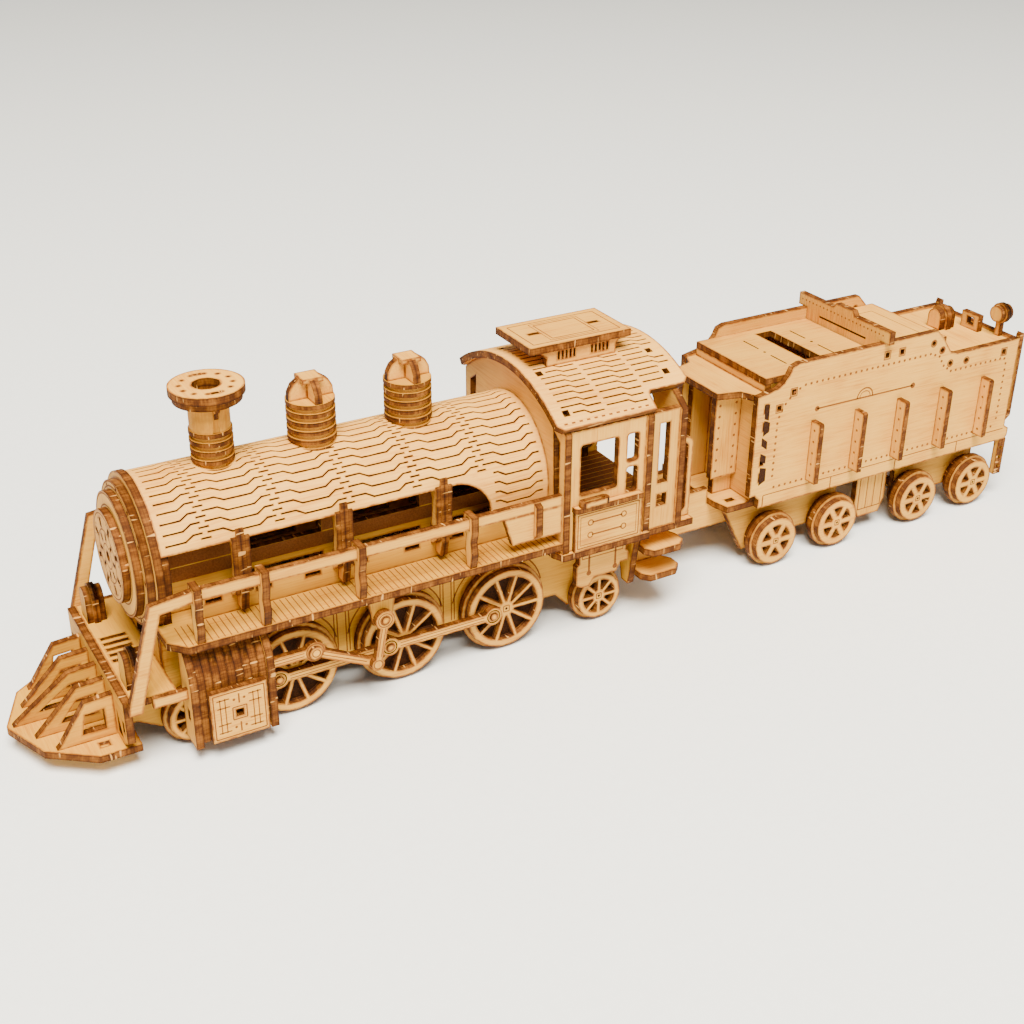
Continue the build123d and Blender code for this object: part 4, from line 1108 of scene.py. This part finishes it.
def cab_roof():
    """The slit roof; s is the length along the bend, from the top."""
    radius, thickness, axis_z = 54.0, PLY, 40.3
    front, step_x, rear = 23.0, -14.5, -31.0
    wide, narrow = 37.03, 29.9

    def place(x, s, depth):
        turn = s / radius
        r = radius - depth * thickness if depth >= 0 else radius + LIFT
        return (x, r * math.sin(turn), axis_z + r * math.cos(turn))

    outline = [
        (front, -wide + 2.0),
        (front, wide - 2.0),
        (front - 2.0, wide),
        (step_x, wide),
        (step_x, narrow + 1.0),
        (step_x - 1.0, narrow),
        (rear + 2.0, narrow),
        (rear, narrow - 2.0),
        (rear, -narrow + 2.0),
        (rear + 2.0, -narrow),
        (step_x - 1.0, -narrow),
        (step_x, -narrow - 1.0),
        (step_x, -wide),
        (front - 2.0, -wide),
    ]
    outline = anticlockwise(outline)
    holes = [(17.6, 12.5), (17.6, 29.5), (-25.0, 12.5), (-25.0, 23.0)]
    half, hole_clear = 1.1, 2.4

    def arc_of(y):
        return radius * math.asin(y / radius)

    squares = [(x, side * arc_of(y)) for x, y in holes for side in (1, -1)]

    def allowed(x, s):
        edge = wide if x > step_x + 1.2 else narrow
        if x < step_x + 2.0 and abs(s) > narrow - 1.4:
            return False
        if not rear + 2.2 < x < front - 4.6 or abs(s) > edge - 3.4:
            return False
        return all(max(abs(x - a), abs(s - b)) > hole_clear for a, b in squares)

    cuts = []
    for x in (-30.0, -13.0, 4.0):
        for row in span(-36.0, 35.0, 2.7):
            bend = [(x, row + 1.35), (x + 5.2, row + 1.35), (x + 7.0, row), (x + 15.4, row)]
            cuts += slits(bend, allowed)
    tabs = [quad(x - half, x + half, s - half, s + half) for x, s in squares]
    marks = []
    for side in (1, -1):
        for x in span(-12.0, 20.0, 2.8):
            dash = ribbon([(x, side * 35.0), (x + 1.3, side * 35.0)], 0.6)
            marks.append(([place(a, b, -1) for a, b in dash], BROWN))
    bent_sheet("cab_roof", outline, cuts, tabs, place, 1.9, marks)


BENT = {"boiler_skin": boiler_skin, "cab_roof": cab_roof}
for node in sorted(frame["nodes"]):
    if node in BENT:
        BENT[node]()
    else:
        dress(node)

# ======== floor, light and camera ========
FLOOR_SIZE = 16.0  # places and sizes of the studio are in metres
PAPER_DARK, PAPER_LIGHT = (0.84, 0.90, 0.98, 1.0), (0.86, 0.92, 1.0, 1.0)
AIR, AIR_STRENGTH = (1.0, 0.93, 0.80, 1.0), 0.45
AIM = Vector((0.0, 0.0, 0.04))  # where the lamps point
KEY_COLOUR, FILL_COLOUR = (1.0, 0.89, 0.70), (1.0, 0.90, 0.74)


def place_camera():
    azimuth, elevation, roll = (math.radians(turn) for turn in (150.10, 28.06, 0.434))
    target = Vector((18.26, -3.26, 35.09)) * MM
    distance = 512.7 * MM
    back = Vector(
        (
            math.sin(azimuth) * math.cos(elevation),
            -math.cos(azimuth) * math.cos(elevation),
            math.sin(elevation),
        )
    )
    right = Vector((math.cos(azimuth), math.sin(azimuth), 0.0))
    up = back.cross(right)
    side = right * math.cos(roll) + up * math.sin(roll)
    top = back.cross(side)
    data = bpy.data.cameras.new("camera")
    data.lens = 51.57
    data.sensor_width = 36.0
    data.clip_start = 0.01
    camera = bpy.data.objects.new("camera", data)
    turn = Matrix((side, top, back)).transposed().to_4x4()
    camera.matrix_world = Matrix.Translation(target + back * distance) @ turn
    bpy.context.scene.collection.objects.link(camera)
    bpy.context.scene.camera = camera


def area_light(name, place, size, power, colour):
    data = bpy.data.lights.new(name, "AREA")
    data.shape = "RECTANGLE"
    data.size, data.size_y = size
    data.energy = power
    data.color = colour
    light = bpy.data.objects.new(name, data)
    light.location = place
    light.rotation_euler = (AIM - Vector(place)).to_track_quat("-Z", "Y").to_euler()
    bpy.context.scene.collection.objects.link(light)


def studio():
    material, g = new_material("floor_paper")
    grain = g.noise(g.position((0.3, 0.3, 0.3)), 1.0)
    colour = g.ramp(grain, ((0.3, PAPER_DARK), (0.7, PAPER_LIGHT)))
    g.finish(colour, 0.9, grain, 0.02)
    bpy.ops.mesh.primitive_plane_add(size=FLOOR_SIZE)
    floor = bpy.context.object
    floor.name = "floor"
    floor.data.materials.append(material)
    world = bpy.data.worlds.new("studio")
    world.use_nodes = True
    air = world.node_tree.nodes["Background"]
    air.inputs["Color"].default_value = AIR
    air.inputs["Strength"].default_value = AIR_STRENGTH
    bpy.context.scene.world = world
    area_light("key", (0.36, 0.80, 1.75), (1.0, 1.0), 158.0, KEY_COLOUR)
    area_light("fill", (-0.6, 0.9, 0.6), (0.6, 0.4), 1.5, FILL_COLOUR)


place_camera()
studio()
